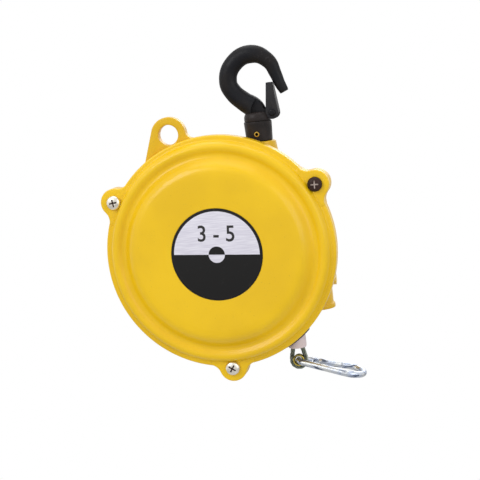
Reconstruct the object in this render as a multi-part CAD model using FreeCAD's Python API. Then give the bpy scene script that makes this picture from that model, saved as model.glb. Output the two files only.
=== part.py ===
import FreeCAD, Part
import math
import os

os.makedirs("parts", exist_ok=True)

# Spring balancer for hand tools: a sprung drum in a two-part housing, hung from a swivel hook.
# The origin is the point of the top hook that rests on its support. +Z is up, the cover faces -Y.

# Layout
hook_offset = 30.0
rope_radius_small = 40.0
rope_radius_large = 50.0

# Housing
drum_room = 11.0
rim_width = 6.0
rim_thickness = 5.0
part_plane_y = -16.0
cover_depth = 15.0
wall = 3.0
barrel_ease = 0.5
barrel_taper = 5.0
barrel_end_y = 24.0
back_y = 33.5
hub_radius = 13.0
hub_height = 3.5
hub_draft = 1.0
dome_margin = 10.0
dome_height = 3.5
dome_shoulder = 3.0
bush_floor = 0.5
shoulder_round = 1.6
shoulder_drop = 2.6

# Cover face
face_inset = 23.0
slope_inset = 15.0
valley_inset = 10.5
bead_inset = 4.4
valley_depth = 6.8
bead_height = 1.7
slope_share = 0.8
shoulder_bulge = 1.2
shoulder_share = 0.24
valley_ease = 1.5
label_radius = 29.5
label_thickness = 0.5
label_recess = 0.35
profile_steps = 3
bead_steps = 4

# Lugs and cover screws
lug_overhang = 0.9
lug_radius = 9.0
lug_depth = 8.0
lug_fillet = 8.0
lug_foot_depth = 8.0
lug_angles = (150.0, 30.0, 270.0)
screw_radius = 2.5
screw_length = 11.0
screw_head_radius = 4.75
screw_head_height = 3.2
screw_clearance = 0.25
screw_crown_share = 0.45
cross_share = 0.58
cross_width = 1.1
cross_depth = 1.2

# Safety ear
ear_x = -26.2
ear_rise = 2.6
ear_radius = 11.4
ear_hole_radius = 6.5
ear_thickness = 7.0
ear_foot_x = -42.3
ear_foot_depth = 15.0
ear_side_share = 0.94
ear_drop_share = 0.34

# Hook boss and swivel
boss_drop = 2.0
boss_length = 22.0
boss_radius = 9.5
boss_draft = 0.16
boss_cap = 13.0
pad_radius = 10.6
stem_radius = 5.0
stem_lead = 1.1
socket_radius = 9.0
socket_foot_radius = 8.5
socket_height = 13.0
shank_radius = 5.0
shank_seat = 1.5
pin_radius = 1.75
pin_height = 4.9
pin_wall = 0.7
pin_inset = 0.2
washer_radius = 8.5
washer_thickness = 1.5
nut_flats = 14.0
nut_pocket_radius = 8.9
nut_height = 5.0
nut_bevel = 2.6
run_gap = 0.1
fit_gap = 0.05

# Top hook
bowl_radius = 11.0
crown_radius = 5.9
hook_half_depth = 5.0
hook_stations = 26
hook_sides = 14
shank_top = -36.5
shank_gap = 0.4
neck_lead = 0.3
neck_rise = 3.0
bowl_shift = 0.5
bowl_lift = 0.2
latch_x = 10.6
latch_z = -32.4
latch_root_radius = 4.1
latch_tip_x = 10.5
latch_tip_z = -13.2
latch_tip_radius = 1.9
latch_half_width = 4.2
latch_sheet = 1.0
latch_lug_gap = 0.2
latch_foot = 0.5
latch_bend = 2.0
latch_pin_radius = 1.5
ear_half_depth = 2.9
latch_flat_radius = 13.5
latch_rivet_rim = 0.7
latch_rivet_height = 0.8
latch_rivet_reach = 1.0

# Drum
rope_diameter = 3.0
rope_turns = 5
rope_pitch = 3.2
rope_notch_length = 22.0
rope_notch_reach = 9.0
rope_notch_gap = 0.2
barrel_wall = 3.5
spring_room = 0.5
drum_front_y = -20.0
spring_floor_y = 13.0
drum_hub_radius = 13.0
drum_hub_end_y = 21.5
flange_height = 3.0
flange_thickness = 1.4
plate_thickness = 2.5
plate_screw_count = 3
plate_screw_radius = 1.25
plate_screw_length = 6.0
plate_screw_head = 0.9
plate_screw_head_height = 1.3

# Mainspring
spring_pack_depth = 9.5
spring_sheet = 0.9
spring_side_gap = 1.5
spring_tail_turns = 1.5
spring_tail_steps = 16
spring_core_gap = 0.3

# Arbor
arbor_radius = 7.0
arbor_core_radius = 8.5
journal_radius = 5.0
bush_wall = 2.5
journal_end_y = -27.0
journal_shoulder_y = -23.2
wheel_seat_radius = 6.0
rear_journal_end_y = 35.0
core_gap = 0.8
seat_lead = 1.5
key_size = 3.0

# Worm and wheel
module = 1.5
teeth = 64
wheel_width = 6.0
wheel_y = 26.5
worm_pitch_radius = 5.5
addendum = 1.2
dedendum = 1.55
backlash = 0.6
flank_slope = 0.36
thread_turns = 4
thread_steps = 16
thread_sink = 0.2
wheel_space = 1.8
wheel_hub_lead = 1.4
wheel_hub_tail = 0.3
wheel_hub_radius = 12.0
worm_shank_radius = 4.2
worm_end = 49.0
worm_top = 14.0
worm_journal_radius = 3.2
worm_journal_length = 3.7
hex_flats = 5.0
hex_depth = 6.0

# Worm tunnel
tunnel_radius = 9.6
tunnel_bore = 7.1
tunnel_top = 21.0
tunnel_foot = 50.0
tunnel_lip = 1.0
tunnel_lip_height = 3.0
tunnel_crown = 2.0
worm_bush_inset = 3.0
lock_wall = 2.0
worm_bush_length = 10.0
lock_clear = 3.5
lock_stand = 0.3
lock_head_flats = 7.0
lock_head_height = 3.0
lock_radius = 2.5

# Wire outlet, stopper, rope eye and carabiner
outlet_radius = 12.0
outlet_setback = 1.0
guide_radius = 9.0
guide_lip = 2.5
guide_depth = 14.0
guide_bore = 2.4
guide_mouth = 2.4
guide_mouth_set = 28.5
guide_mouth_depth = 4.0
guide_blank_top = 35.0
outlet_blank_top = 40.0
stopper_radius = 6.0
stopper_set = 18.5
stopper_length = 12.0
stopper_gap = 0.6
stopper_draft = 0.2
stopper_cap = 1.0
crimp_radius = 3.6
eye_drop = 8.6
eye_radius = 4.6
eye_leg_spread = 3.0
eye_sides = 10
thimble_gap = 0.25
thimble_wall = 0.7
thimble_half_depth = 2.0
thimble_groove_gap = 0.15
thimble_groove_share = 0.8
thimble_lip = 0.3
thimble_steps = 4
rod_radius = 2.1
rod_sides = 12
bend_step = 20
clip_length = 47.2
clip_width = 24.0
clip_end_radius = 5.0
clip_droop = 15.7
gate_start = 6.5
gate_hinge_end = 3.0
gate_end = 23.5
gate_gap = 0.3
gate_tongue = 1.5
gate_pin_radius = 0.6
gate_knuckle_gap = 0.35
gate_slot_length = 8.5
gate_slot_back = 2.6
gate_slot_gap = 0.1
gate_clear = 6.0

# Spare length of the shapes that cut
past = 1.0
cut_reach = 20.0

# Places and sizes that follow from those above, from the drum outwards
rope_radius = rope_diameter / 2
rope_band = rope_turns * rope_pitch
spring_radius = rope_radius_small - rope_radius - barrel_wall - spring_room
spring_pack_radius = spring_radius - spring_pack_depth
cavity_radius = rope_radius_large + rope_radius + flange_height + drum_room
barrel_radius = cavity_radius + wall + barrel_ease
barrel_end_radius = barrel_radius - barrel_taper
dome_radius = barrel_end_radius - dome_margin
rim_radius = barrel_radius + rim_width
face_radius = rim_radius - face_inset
slope_radius = rim_radius - slope_inset
valley_radius = rim_radius - valley_inset
bead_radius = rim_radius - bead_inset
lug_pitch_radius = rim_radius + lug_overhang
lug_foot_radius = rim_radius - lug_foot_depth
ear_z = rim_radius + ear_rise
ear_foot_z = rim_radius - ear_foot_depth
boss_top = barrel_radius - boss_drop
boss_foot = boss_top - boss_length
pad_height = boss_top - boss_cap
stem_end = pad_height - run_gap - washer_thickness - nut_height - stem_lead
hook_height = boss_top + run_gap + socket_height + shank_gap - shank_top
worm_reach = module * teeth / 2 + worm_pitch_radius
lock_height = tunnel_foot - worm_bush_inset - worm_bush_length - lock_radius - lock_clear
lock_reach = worm_reach + tunnel_radius + lock_stand + lock_head_height
outlet_reach = rim_radius - outlet_setback
guide_reach = outlet_reach + guide_lip
guide_inner_reach = guide_reach - guide_depth
guide_mouth_top = guide_reach - guide_mouth_set
stopper_top = guide_reach - stopper_set
stopper_foot = stopper_top + stopper_length
eye_centre = stopper_foot + eye_drop
drum_x = -hook_offset
drum_z = -hook_height
wire_x = drum_x + rope_radius_small
face_y = part_plane_y - cover_depth
lug_face_y = part_plane_y - rim_thickness
rear_bush_y = back_y - wall - bush_floor
across = FreeCAD.Vector(1, 0, 0)
along = FreeCAD.Vector(0, 1, 0)
up = FreeCAD.Vector(0, 0, 1)
drum_centre = FreeCAD.Vector(drum_x, 0, drum_z)


def place(radius, y, z=0.0):
    """A point at a distance to the right of the drum axis."""
    return FreeCAD.Vector(drum_x + radius, y, drum_z + z)


def outline(points, to_vector):
    """A closed face through points; an item ("arc", middle, end) makes an arc."""
    edges = []
    last = to_vector(*points[0])
    for item in points[1:] + [points[0]]:
        if item[0] == "arc":
            middle = to_vector(*item[1])
            end = to_vector(*item[2])
            edges.append(Part.Arc(last, middle, end).toShape())
        else:
            end = to_vector(*item)
            if (end - last).Length > 0.001:
                edges.append(Part.LineSegment(last, end).toShape())
        last = end
    return Part.Face(Part.Wire(edges))


def turned(points):
    """A solid turned about the drum axis from points (radius, y)."""
    return outline(points, place).revolve(drum_centre, along, 360)


def curve_points(start, middle, end, count):
    """Points along the arc from start to end, for a curve turned as a few narrow cones."""
    ends = [FreeCAD.Vector(p[0], p[1], 0) for p in (start, middle, end)]
    arc = Part.Arc(*ends)
    span = (arc.LastParameter - arc.FirstParameter) / count
    found = [arc.value(arc.FirstParameter + i * span) for i in range(count + 1)]
    return [(p.x, p.y) for p in found]


def faceted(rings):
    """A solid through rings of as many corners each, with flat facets between them."""
    faces = []
    count = len(rings[0])
    for near, far in zip(rings, rings[1:]):
        for i in range(count):
            j = (i + 1) % count
            for corners in ((near[i], near[j], far[j]), (near[i], far[j], far[i])):
                faces.append(Part.Face(Part.makePolygon(list(corners) + [corners[0]])))
    for ring in (rings[0], rings[-1]):
        faces.append(Part.Face(Part.makePolygon(ring + [ring[0]])))
    shell = Part.makeShell(faces)
    shell.sewShape()
    solid = Part.makeSolid(Part.makeShell(shell.Faces))
    if solid.Volume < 0:
        solid.reverse()
    return solid


def faceted_rod(stations, sides, side_axis):
    """A rod through stations (centre, direction, half width, half depth)."""
    rings = []
    for centre, direction, half_width, half_depth in stations:
        normal = direction.cross(side_axis)
        normal.normalize()
        corners = []
        for i in range(sides):
            angle = 2 * math.pi * (i + 0.5) / sides
            corners.append(
                centre + normal * (half_width * math.cos(angle)) + side_axis * (half_depth * math.sin(angle))
            )
        rings.append(corners)
    return faceted(rings)


def path_stations(edges, radius, arc_step):
    """Stations for a round rod along straight and round edges, given in order."""
    stations = []
    for edge in edges:
        steps = 1
        if isinstance(edge.Curve, Part.Circle):
            steps = max(2, round(math.degrees(edge.Length / edge.Curve.Radius) / arc_step))
        for i in range(steps + 1):
            where = edge.FirstParameter + (edge.LastParameter - edge.FirstParameter) * i / steps
            centre = edge.valueAt(where)
            if stations and (centre - stations[-1][0]).Length < 0.001:
                continue
            stations.append((centre, edge.tangentAt(where), radius, radius))
    return stations


def turned_up(points, x=0.0, y=0.0, base=0.0):
    """A solid turned about a vertical axis from points (radius, z)."""
    face = outline(points, lambda r, z: FreeCAD.Vector(x + r, y, base + z))
    return face.revolve(FreeCAD.Vector(x, y, 0), up, 360)


def bar(radius, start, direction, length):
    return Part.makeCylinder(radius, length, start, direction)


def drum_bar(radius, x, z, y_start, y_end):
    """A cylinder along Y, placed from the drum axis."""
    return bar(radius, FreeCAD.Vector(drum_x + x, y_start, drum_z + z), along, y_end - y_start)


def post(radius, x, y, z_start, z_end):
    """A vertical cylinder, placed from the drum axis."""
    return bar(radius, FreeCAD.Vector(drum_x + x, y, drum_z + z_start), up, z_end - z_start)


def hexagon(flats, centre, direction, length):
    wire = Part.makePolygon(
        [
            FreeCAD.Vector(
                flats / math.sqrt(3) * math.cos(math.radians(60 * i)),
                flats / math.sqrt(3) * math.sin(math.radians(60 * i)),
                0,
            )
            for i in range(7)
        ]
    )
    solid = Part.Face(wire).extrude(FreeCAD.Vector(0, 0, length))
    solid.Placement = FreeCAD.Placement(centre, FreeCAD.Rotation(up, direction))
    return solid


def lug_place(angle):
    return (
        lug_pitch_radius * math.cos(math.radians(angle)),
        lug_pitch_radius * math.sin(math.radians(angle)),
    )


def lugs(y_start, y_end):
    """The three screw lugs, each a round end with a hollow round at both sides of its foot."""
    hollow = rim_radius + lug_fillet
    reach = lug_radius + lug_fillet
    spread = math.acos((lug_pitch_radius**2 + hollow**2 - reach**2) / (2 * lug_pitch_radius * hollow))
    middle = FreeCAD.Vector(hollow * math.cos(spread), 0, hollow * math.sin(spread))
    centre = FreeCAD.Vector(lug_pitch_radius, 0, 0)
    on_rim = middle * (rim_radius / hollow)
    on_lug = centre + (middle - centre) * (lug_radius / reach)
    between = on_rim + on_lug - middle * 2
    deepest = middle + between * (lug_fillet / between.Length)
    foot = on_rim * (lug_foot_radius / rim_radius)
    profile = [
        (foot.x, foot.z),
        (on_rim.x, on_rim.z),
        ("arc", (deepest.x, deepest.z), (on_lug.x, on_lug.z)),
        ("arc", (lug_pitch_radius + lug_radius, 0), (on_lug.x, -on_lug.z)),
        ("arc", (deepest.x, -deepest.z), (on_rim.x, -on_rim.z)),
        (foot.x, -foot.z),
    ]
    solids = []
    for angle in lug_angles:
        lug = outline(profile, lambda x, z: FreeCAD.Vector(x, y_start, z)).extrude(along * (y_end - y_start))
        lug.rotate(FreeCAD.Vector(), along, -angle)
        lug.translate(drum_centre)
        solids.append(lug)
    return solids


def make_front_cover():
    inner_y = face_y + wall
    slope_y = face_y + slope_share * valley_depth
    valley_y = face_y + valley_depth
    bead_y = valley_y - bead_height
    middle = (face_radius + slope_radius) / 2
    bead_middle = (valley_radius + bead_radius) / 2
    bush_radius = journal_radius + bush_wall
    shell = turned(
        [
            (0, face_y + label_recess),
            (label_radius + run_gap, face_y + label_recess),
            (label_radius + run_gap, face_y),
        ]
        + curve_points(
            (face_radius, face_y),
            (middle + shoulder_bulge, face_y + shoulder_share * valley_depth),
            (slope_radius, slope_y),
            profile_steps,
        )
        + [(slope_radius + valley_ease, valley_y)]
        + curve_points(
            (valley_radius, valley_y),
            (bead_middle, bead_y),
            (bead_radius, valley_y + shoulder_bulge),
            bead_steps,
        )
        + [
            (bead_radius + label_thickness, lug_face_y),
            (rim_radius, lug_face_y),
            (rim_radius, part_plane_y),
            (cavity_radius, part_plane_y),
            (cavity_radius, valley_y + wall),
            (slope_radius - valley_ease, valley_y + wall),
            (face_radius - shoulder_bulge, inner_y),
            (bush_radius + wall, inner_y),
            (bush_radius + wall, journal_shoulder_y),
            (bush_radius, journal_shoulder_y),
            (bush_radius, inner_y + fit_gap),
            (0, inner_y + fit_gap),
        ]
    )
    cover = shell.multiFuse(lugs(lug_face_y, part_plane_y))
    holes = []
    for angle in lug_angles:
        x, z = lug_place(angle)
        holes.append(drum_bar(screw_radius + screw_clearance, x, z, lug_face_y - past, part_plane_y + past))
    return cover.cut(holes).removeSplitter()


def safety_ear():
    """A flat ear with a hole for the safety rope, flared into the rim."""
    y_start = part_plane_y
    flare = [
        (ear_x + ear_radius, ear_z),
        (ear_x + ear_radius, ear_foot_z),
        (ear_foot_x, ear_foot_z),
        (ear_x - ear_radius * ear_side_share, ear_z - ear_radius * ear_drop_share),
    ]
    plate = outline(flare, lambda x, z: place(x, y_start, z)).extrude(along * ear_thickness)
    return plate.fuse(drum_bar(ear_radius, ear_x, ear_z, y_start, y_start + ear_thickness))


def make_rear_case():
    lock_axis = place(worm_reach, wheel_y, -lock_height)
    shoulder_y = back_y - dome_height
    wheel_room = module * teeth / 2 + addendum + wheel_space
    bush_radius = journal_radius + bush_wall
    body = turned(
        [
            (0, part_plane_y),
            (rim_radius, part_plane_y),
            (rim_radius, part_plane_y + rim_thickness),
            (barrel_radius, part_plane_y + rim_thickness),
        ]
        + curve_points(
            (barrel_end_radius, barrel_end_y),
            (barrel_end_radius - shoulder_round, shoulder_y - shoulder_drop),
            (dome_radius + dome_shoulder, shoulder_y),
            profile_steps,
        )
        + [
            (dome_radius, back_y),
            (hub_radius + hub_draft, back_y),
            (hub_radius, back_y + hub_height),
            (0, back_y + hub_height),
        ]
    )
    adds = lugs(part_plane_y, part_plane_y + lug_depth)
    adds.append(safety_ear())
    boss_depth = boss_top - boss_foot
    adds.append(
        Part.makeCone(
            boss_radius + boss_draft * boss_depth,
            boss_radius,
            boss_depth,
            place(hook_offset, 0, boss_foot),
            up,
        )
    )
    outlet = post(outlet_radius, rope_radius_small, 0, -outlet_reach, -outlet_blank_top)
    adds.append(outlet.common(drum_bar(outlet_reach, 0, 0, -outlet_radius, outlet_radius)))
    crown_foot = tunnel_top - tunnel_crown
    tunnel = post(tunnel_radius, worm_reach, wheel_y, -tunnel_foot, crown_foot)
    crown = Part.makeCone(
        tunnel_radius, tunnel_radius - tunnel_crown, tunnel_crown, place(worm_reach, wheel_y, crown_foot), up
    )
    lip = post(tunnel_radius + tunnel_lip, worm_reach, wheel_y, -tunnel_foot, tunnel_lip_height - tunnel_foot)
    lock_boss = bar(
        lock_radius + lock_wall,
        lock_axis,
        across,
        lock_reach - lock_head_height - worm_reach,
    )
    adds += [tunnel, crown, lip, lock_boss]
    case = body.multiFuse(adds)
    cavity = turned(
        [
            (0, part_plane_y - past),
            (cavity_radius, part_plane_y - past),
            (cavity_radius, part_plane_y),
            (barrel_end_radius - wall, barrel_end_y - wall),
            (wheel_room, barrel_end_y - wall),
            (wheel_room, rear_bush_y),
            (bush_radius, rear_bush_y),
            (bush_radius, rear_journal_end_y + fit_gap),
            (0, rear_journal_end_y + fit_gap),
        ]
    )
    case = case.cut(cavity)
    case = case.fuse(post(pad_radius, hook_offset, 0, pad_height, boss_top - past))
    cuts = [
        post(stem_radius + run_gap, hook_offset, 0, stem_end, boss_top + past),
        post(nut_pocket_radius, hook_offset, 0, stem_end - nut_height, pad_height),
        post(guide_radius + fit_gap, rope_radius_small, 0, -outlet_reach - past, -guide_blank_top),
        post(tunnel_bore, worm_reach, wheel_y, -tunnel_foot - past, worm_top + run_gap),
        post(worm_journal_radius + run_gap, worm_reach, wheel_y, 0, worm_top + worm_journal_length + run_gap),
        bar(lock_radius + fit_gap, lock_axis, across, lock_reach - worm_reach + past),
        bar(
            lock_head_flats / math.sqrt(3) + run_gap,
            place(lock_reach - lock_head_height, wheel_y, -lock_height),
            across,
            cut_reach,
        ),
        drum_bar(ear_hole_radius, ear_x, ear_z, part_plane_y - past, part_plane_y + ear_thickness + past),
    ]
    hole_end = lug_face_y + screw_length + past
    for angle in lug_angles:
        x, z = lug_place(angle)
        cuts.append(drum_bar(screw_radius + fit_gap, x, z, part_plane_y - past, hole_end))
    return case.cut(cuts).removeSplitter()


def cover_screw(angle):
    x, z = lug_place(angle)
    crown = screw_crown_share * screw_head_height
    top_y = lug_face_y - screw_head_height
    head = Part.makeCone(
        screw_head_radius - crown, screw_head_radius, crown, place(x, top_y, z), along
    )
    rim = drum_bar(screw_head_radius, x, z, top_y + crown, lug_face_y)
    shank = drum_bar(screw_radius, x, z, lug_face_y, lug_face_y + screw_length)
    slot_reach = cross_share * screw_head_radius
    slot = Part.makeBox(2 * slot_reach, cross_depth + past, cross_width)
    slot.translate(FreeCAD.Vector(-slot_reach, -past, -cross_width / 2))
    cross = slot.fuse(slot.rotated(FreeCAD.Vector(0, 0, 0), along, 90))
    cross.translate(place(x, top_y, z))
    return head.multiFuse([rim, shank]).cut(cross)


def make_cover_screws():
    return Part.makeCompound([cover_screw(lug_angles[0]), cover_screw(lug_angles[2])])


def make_cover_screw_dark():
    return cover_screw(lug_angles[1])


def make_label_plate():
    y_start = face_y + label_recess - label_thickness
    return drum_bar(label_radius, 0, 0, y_start, y_start + label_thickness)


def make_wire_guide():
    """The block that the rope runs through, cut to the curve of the housing at both ends."""
    x = rope_radius_small
    block = post(guide_radius, x, 0, -guide_reach, -guide_blank_top)
    block = block.common(drum_bar(guide_reach, 0, 0, -guide_radius, guide_radius))
    block = block.cut(drum_bar(guide_inner_reach, 0, 0, -guide_radius - past, guide_radius + past))
    bore = post(guide_bore, x, 0, -guide_reach, 0)
    pocket = post(stopper_radius + stopper_gap, x, 0, -guide_reach, -stopper_top + stopper_gap)
    mouth_foot = place(x, 0, -guide_mouth_top - guide_mouth_depth)
    mouth = Part.makeCone(guide_bore, guide_bore + guide_mouth, guide_mouth_depth, mouth_foot, up)
    return block.cut([bore, pocket, mouth])


def sleeve(inner, outer, y_start, y_end):
    return drum_bar(outer, 0, 0, y_start, y_end).cut(drum_bar(inner, 0, 0, y_start - past, y_end + past))


def make_front_bush():
    radius = journal_radius + bush_wall - fit_gap
    return sleeve(journal_radius + fit_gap, radius, journal_end_y, journal_shoulder_y)


def make_rear_bush():
    radius = journal_radius + bush_wall - fit_gap
    return sleeve(journal_radius + fit_gap, radius, rear_bush_y, rear_journal_end_y)


def make_worm_bush():
    x = worm_reach
    z_start = -tunnel_foot + worm_bush_inset
    ring = post(tunnel_bore - fit_gap, x, wheel_y, z_start, z_start + worm_bush_length)
    bore_radius = worm_shank_radius + fit_gap
    return ring.cut(post(bore_radius, x, wheel_y, z_start - past, z_start + worm_bush_length + past))


def make_worm_lock_screw():
    x = worm_reach
    head_x = lock_reach - lock_head_height
    start = x + worm_shank_radius + 3 * run_gap
    shank = bar(lock_radius, place(start, wheel_y, -lock_height), across, head_x - start)
    head = hexagon(lock_head_flats, place(head_x, wheel_y, -lock_height), across, lock_head_height)
    return shank.fuse(head)


def make_top_hook():
    """The forged hook: a round shank, a neck bent to the left and a bowl tapered to its tip."""
    bowl_x = bowl_shift
    bowl_z = -bowl_radius + bowl_lift
    reach = bowl_radius + crown_radius
    line = [
        (0.0, shank_top - neck_lead, 6.0),
        (0.0, shank_top + neck_rise, 7.0),
        (-1.6, -28.6, 7.0),
        (-7.5, -23.6, 6.3),
        (-13.6, -17.4, 6.0),
        (bowl_x - reach, bowl_z + 1.0, crown_radius),
        (bowl_x - 0.72 * reach, bowl_z + 0.70 * reach, crown_radius),
        (bowl_x, bowl_z + reach, crown_radius),
        (bowl_x + 0.62 * reach, bowl_z + 0.68 * reach, 4.9),
        (bowl_x + 0.86 * reach, bowl_z + 0.15 * reach, 4.0),
        (17.0, -14.3, 3.4),
        (19.0, -18.6, 2.4),
        (19.7, -20.3, 1.1),
    ]
    curve = Part.BSplineCurve()
    curve.interpolate([FreeCAD.Vector(x, radius, z) for x, z, radius in line])
    stations = []
    for i in range(hook_stations + 1):
        where = curve.FirstParameter + (curve.LastParameter - curve.FirstParameter) * i / hook_stations
        point = curve.value(where)
        tangent = curve.tangent(where)[0]
        direction = FreeCAD.Vector(tangent.x, 0, tangent.z) if i else FreeCAD.Vector(0, 0, 1)
        direction.normalize()
        depth = min(hook_half_depth, point.y)
        stations.append((FreeCAD.Vector(point.x, 0, point.z), direction, point.y, depth))
    body = faceted_rod(stations, hook_sides, along)
    flats = []
    pivot = FreeCAD.Vector(latch_x, 0, latch_z)
    for side in (-1, 1):
        start = pivot + along * side * ear_half_depth
        flats.append(bar(latch_flat_radius, start, along * side, bowl_radius))
    body = body.cut(flats)
    eye_radius_outer = latch_root_radius - latch_sheet - latch_lug_gap
    lug = bar(eye_radius_outer, pivot - along * ear_half_depth, along, 2 * ear_half_depth)
    web = Part.makeBox(latch_x, 2 * ear_half_depth, 2 * eye_radius_outer)
    web.translate(FreeCAD.Vector(0, -ear_half_depth, latch_z - eye_radius_outer))
    foot = drum_z + boss_top + run_gap + shank_seat
    shank = bar(shank_radius, FreeCAD.Vector(0, 0, foot), up, shank_top - foot)
    hook = body.multiFuse([lug, web, shank])
    hook = hook.cut(bar(latch_pin_radius + fit_gap, pivot - along * cut_reach, along, 2 * cut_reach))
    pin_z = drum_z + boss_top + pin_height
    return hook.cut(bar(pin_radius + fit_gap, FreeCAD.Vector(0, -cut_reach, pin_z), along, 2 * cut_reach))


def make_swivel_stud():
    """A socket for the hook's shank on a stem that turns in the housing's boss."""
    seat = boss_top + run_gap
    stud = turned_up(
        [
            (0, stem_end),
            (stem_radius, stem_end),
            (stem_radius, seat),
            (socket_foot_radius, seat),
            (socket_radius, seat + socket_height),
            (shank_radius + run_gap, seat + socket_height),
            (shank_radius + run_gap, seat + shank_seat - run_gap),
            (0, seat + shank_seat - run_gap),
        ],
        base=drum_z,
    )
    pin_z = drum_z + boss_top + pin_height
    return stud.cut(bar(pin_radius + fit_gap, FreeCAD.Vector(0, -cut_reach, pin_z), along, 2 * cut_reach))


def make_hook_pin():
    half = socket_radius - pin_inset
    pin_z = drum_z + boss_top + pin_height
    pin = bar(pin_radius, FreeCAD.Vector(0, -half, pin_z), along, 2 * half)
    bore_start = FreeCAD.Vector(0, -half - past, pin_z)
    return pin.cut(bar(pin_radius - pin_wall, bore_start, along, 2 * (half + past)))


def make_swivel_washer():
    z_end = pad_height - run_gap
    ring = post(washer_radius, hook_offset, 0, z_end - washer_thickness, z_end)
    return ring.cut(post(stem_radius + fit_gap, hook_offset, 0, z_end - cut_reach, z_end + past))


def make_swivel_nut():
    z_end = pad_height - run_gap - washer_thickness
    nut = hexagon(nut_flats, place(hook_offset, 0, z_end - nut_height), up, nut_height)
    bevel_foot = z_end - nut_bevel
    across_flats = nut_flats / 2
    centre = place(hook_offset, 0, bevel_foot)
    chamfer = Part.makeCone(across_flats + nut_bevel, across_flats, nut_bevel, centre, up)
    body = post(across_flats + nut_bevel, hook_offset, 0, z_end - nut_height, bevel_foot).fuse(chamfer)
    return nut.common(body).cut(post(stem_radius + fit_gap, hook_offset, 0, z_end - cut_reach, z_end + past))


def make_latch_pin():
    length = 2 * (latch_half_width + latch_rivet_reach)
    rivet_radius = latch_pin_radius + latch_rivet_rim
    start = FreeCAD.Vector(latch_x, -length / 2, latch_z)
    heads = [
        bar(rivet_radius, FreeCAD.Vector(latch_x, y, latch_z), along, latch_rivet_height)
        for y in (-length / 2, length / 2 - latch_rivet_height)
    ]
    return bar(latch_pin_radius, start, along, length).multiFuse(heads)


def tapered_prism(root_radius, tip_radius, half_width, shift=0.0):
    """A round-ended tapered plate from the latch pivot up to its tip."""
    root = (latch_x + shift, latch_z)
    tip = (latch_tip_x + shift, latch_tip_z)
    lean = math.atan2(tip[0] - root[0], tip[1] - root[1])
    length = math.hypot(tip[0] - root[0], tip[1] - root[1])
    flare = math.asin((root_radius - tip_radius) / length)

    def rim(centre, radius, angle):
        return (centre[0] + radius * math.sin(angle), centre[1] + radius * math.cos(angle))

    right = lean + math.pi / 2 - flare
    left = lean - math.pi / 2 + flare
    profile = [
        rim(root, root_radius, left),
        rim(tip, tip_radius, left),
        ("arc", rim(tip, tip_radius, lean), rim(tip, tip_radius, right)),
        rim(root, root_radius, right),
        ("arc", rim(root, root_radius, lean + math.pi), rim(root, root_radius, left)),
    ]
    face = outline(profile, lambda x, z: FreeCAD.Vector(x, -half_width, z))
    return face.extrude(along * (2 * half_width))


def make_hook_latch():
    """A folded sheet latch: two cheeks on the pin and a web towards the mouth of the hook."""
    outer = tapered_prism(latch_root_radius, latch_tip_radius, latch_half_width)
    inner_half = latch_half_width - latch_sheet
    root = latch_root_radius - latch_sheet
    tip = latch_tip_radius - latch_sheet
    cutters = [tapered_prism(root, tip, inner_half, -i * latch_bend) for i in range(3)]
    latch = outer.cut(cutters)
    below = Part.makeBox(2 * latch_root_radius, 2 * inner_half, latch_root_radius)
    foot_z = latch_z - latch_root_radius - latch_foot
    below.translate(FreeCAD.Vector(latch_x - latch_root_radius, -inner_half, foot_z))
    latch = latch.cut(below)
    pin_start = FreeCAD.Vector(latch_x, -cut_reach, latch_z)
    return latch.cut(bar(latch_pin_radius + run_gap, pin_start, along, 2 * cut_reach))


def rope_seat(y):
    """Radius of the rope's centre line on the cone at a place along the drum axis."""
    return rope_radius_small + (rope_radius_large - rope_radius_small) * y / rope_band


def rope_line(offset):
    """The winding's line, moved out by an offset: one level turn, then the cone."""
    level_end = rope_pitch / 2
    last = rope_band + rope_radius
    return [
        (rope_seat(0) + offset, -rope_radius),
        (rope_seat(0) + offset, level_end),
        (rope_seat(level_end) + offset, level_end),
        (rope_seat(last) + offset, last),
    ]


def make_rope_drum():
    """A drum with a cone for the rope outside and the barrel of the mainspring inside."""
    first_y = -rope_radius - run_gap
    last_y = rope_band + rope_radius + run_gap
    barrel = spring_radius + spring_room
    front = rope_seat(0) - rope_radius
    profile = [
        (barrel, drum_front_y),
        (barrel + barrel_wall, drum_front_y),
        (barrel + barrel_wall, first_y - flange_thickness),
        (front + rope_diameter + flange_height, first_y - flange_thickness),
        (front + rope_diameter + flange_height, first_y),
    ]
    profile += [(floor, first_y if y < 0 else y) for floor, y in rope_line(-rope_radius - fit_gap)[:3]]
    profile += [
        (rope_seat(last_y) - rope_radius - fit_gap, last_y),
        (rope_radius_large + flange_height, last_y),
        (rope_radius_large + flange_height, last_y + flange_thickness),
        (drum_hub_radius, last_y + flange_thickness),
        (drum_hub_radius, drum_hub_end_y),
        (arbor_radius + bush_wall, drum_hub_end_y),
        (arbor_radius + bush_wall, spring_floor_y),
        (barrel, spring_floor_y),
    ]
    drum = turned(profile)
    hole_end = drum_front_y + plate_screw_length + 1
    holes = [
        drum_bar(plate_screw_radius + fit_gap, *plate_screw_place(i), drum_front_y - past, hole_end)
        for i in range(plate_screw_count)
    ]
    return drum.cut(holes)


def plate_screw_place(i):
    angle = math.radians(360 * i / plate_screw_count + 90)
    radius = spring_radius + spring_room + barrel_wall / 2
    return radius * math.cos(angle), radius * math.sin(angle)


def make_wound_rope():
    """The wound turns as one band; its first turn stops where the free rope leaves the drum."""
    band = turned(rope_line(-rope_radius) + rope_line(rope_radius)[::-1])
    notch = Part.makeBox(2 * rope_notch_reach, rope_diameter + rope_notch_gap, rope_notch_length)
    corner = place(rope_radius_small - rope_notch_reach, -rope_radius - rope_notch_gap, -rope_notch_length)
    notch.translate(corner)
    return band.cut(notch)


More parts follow.
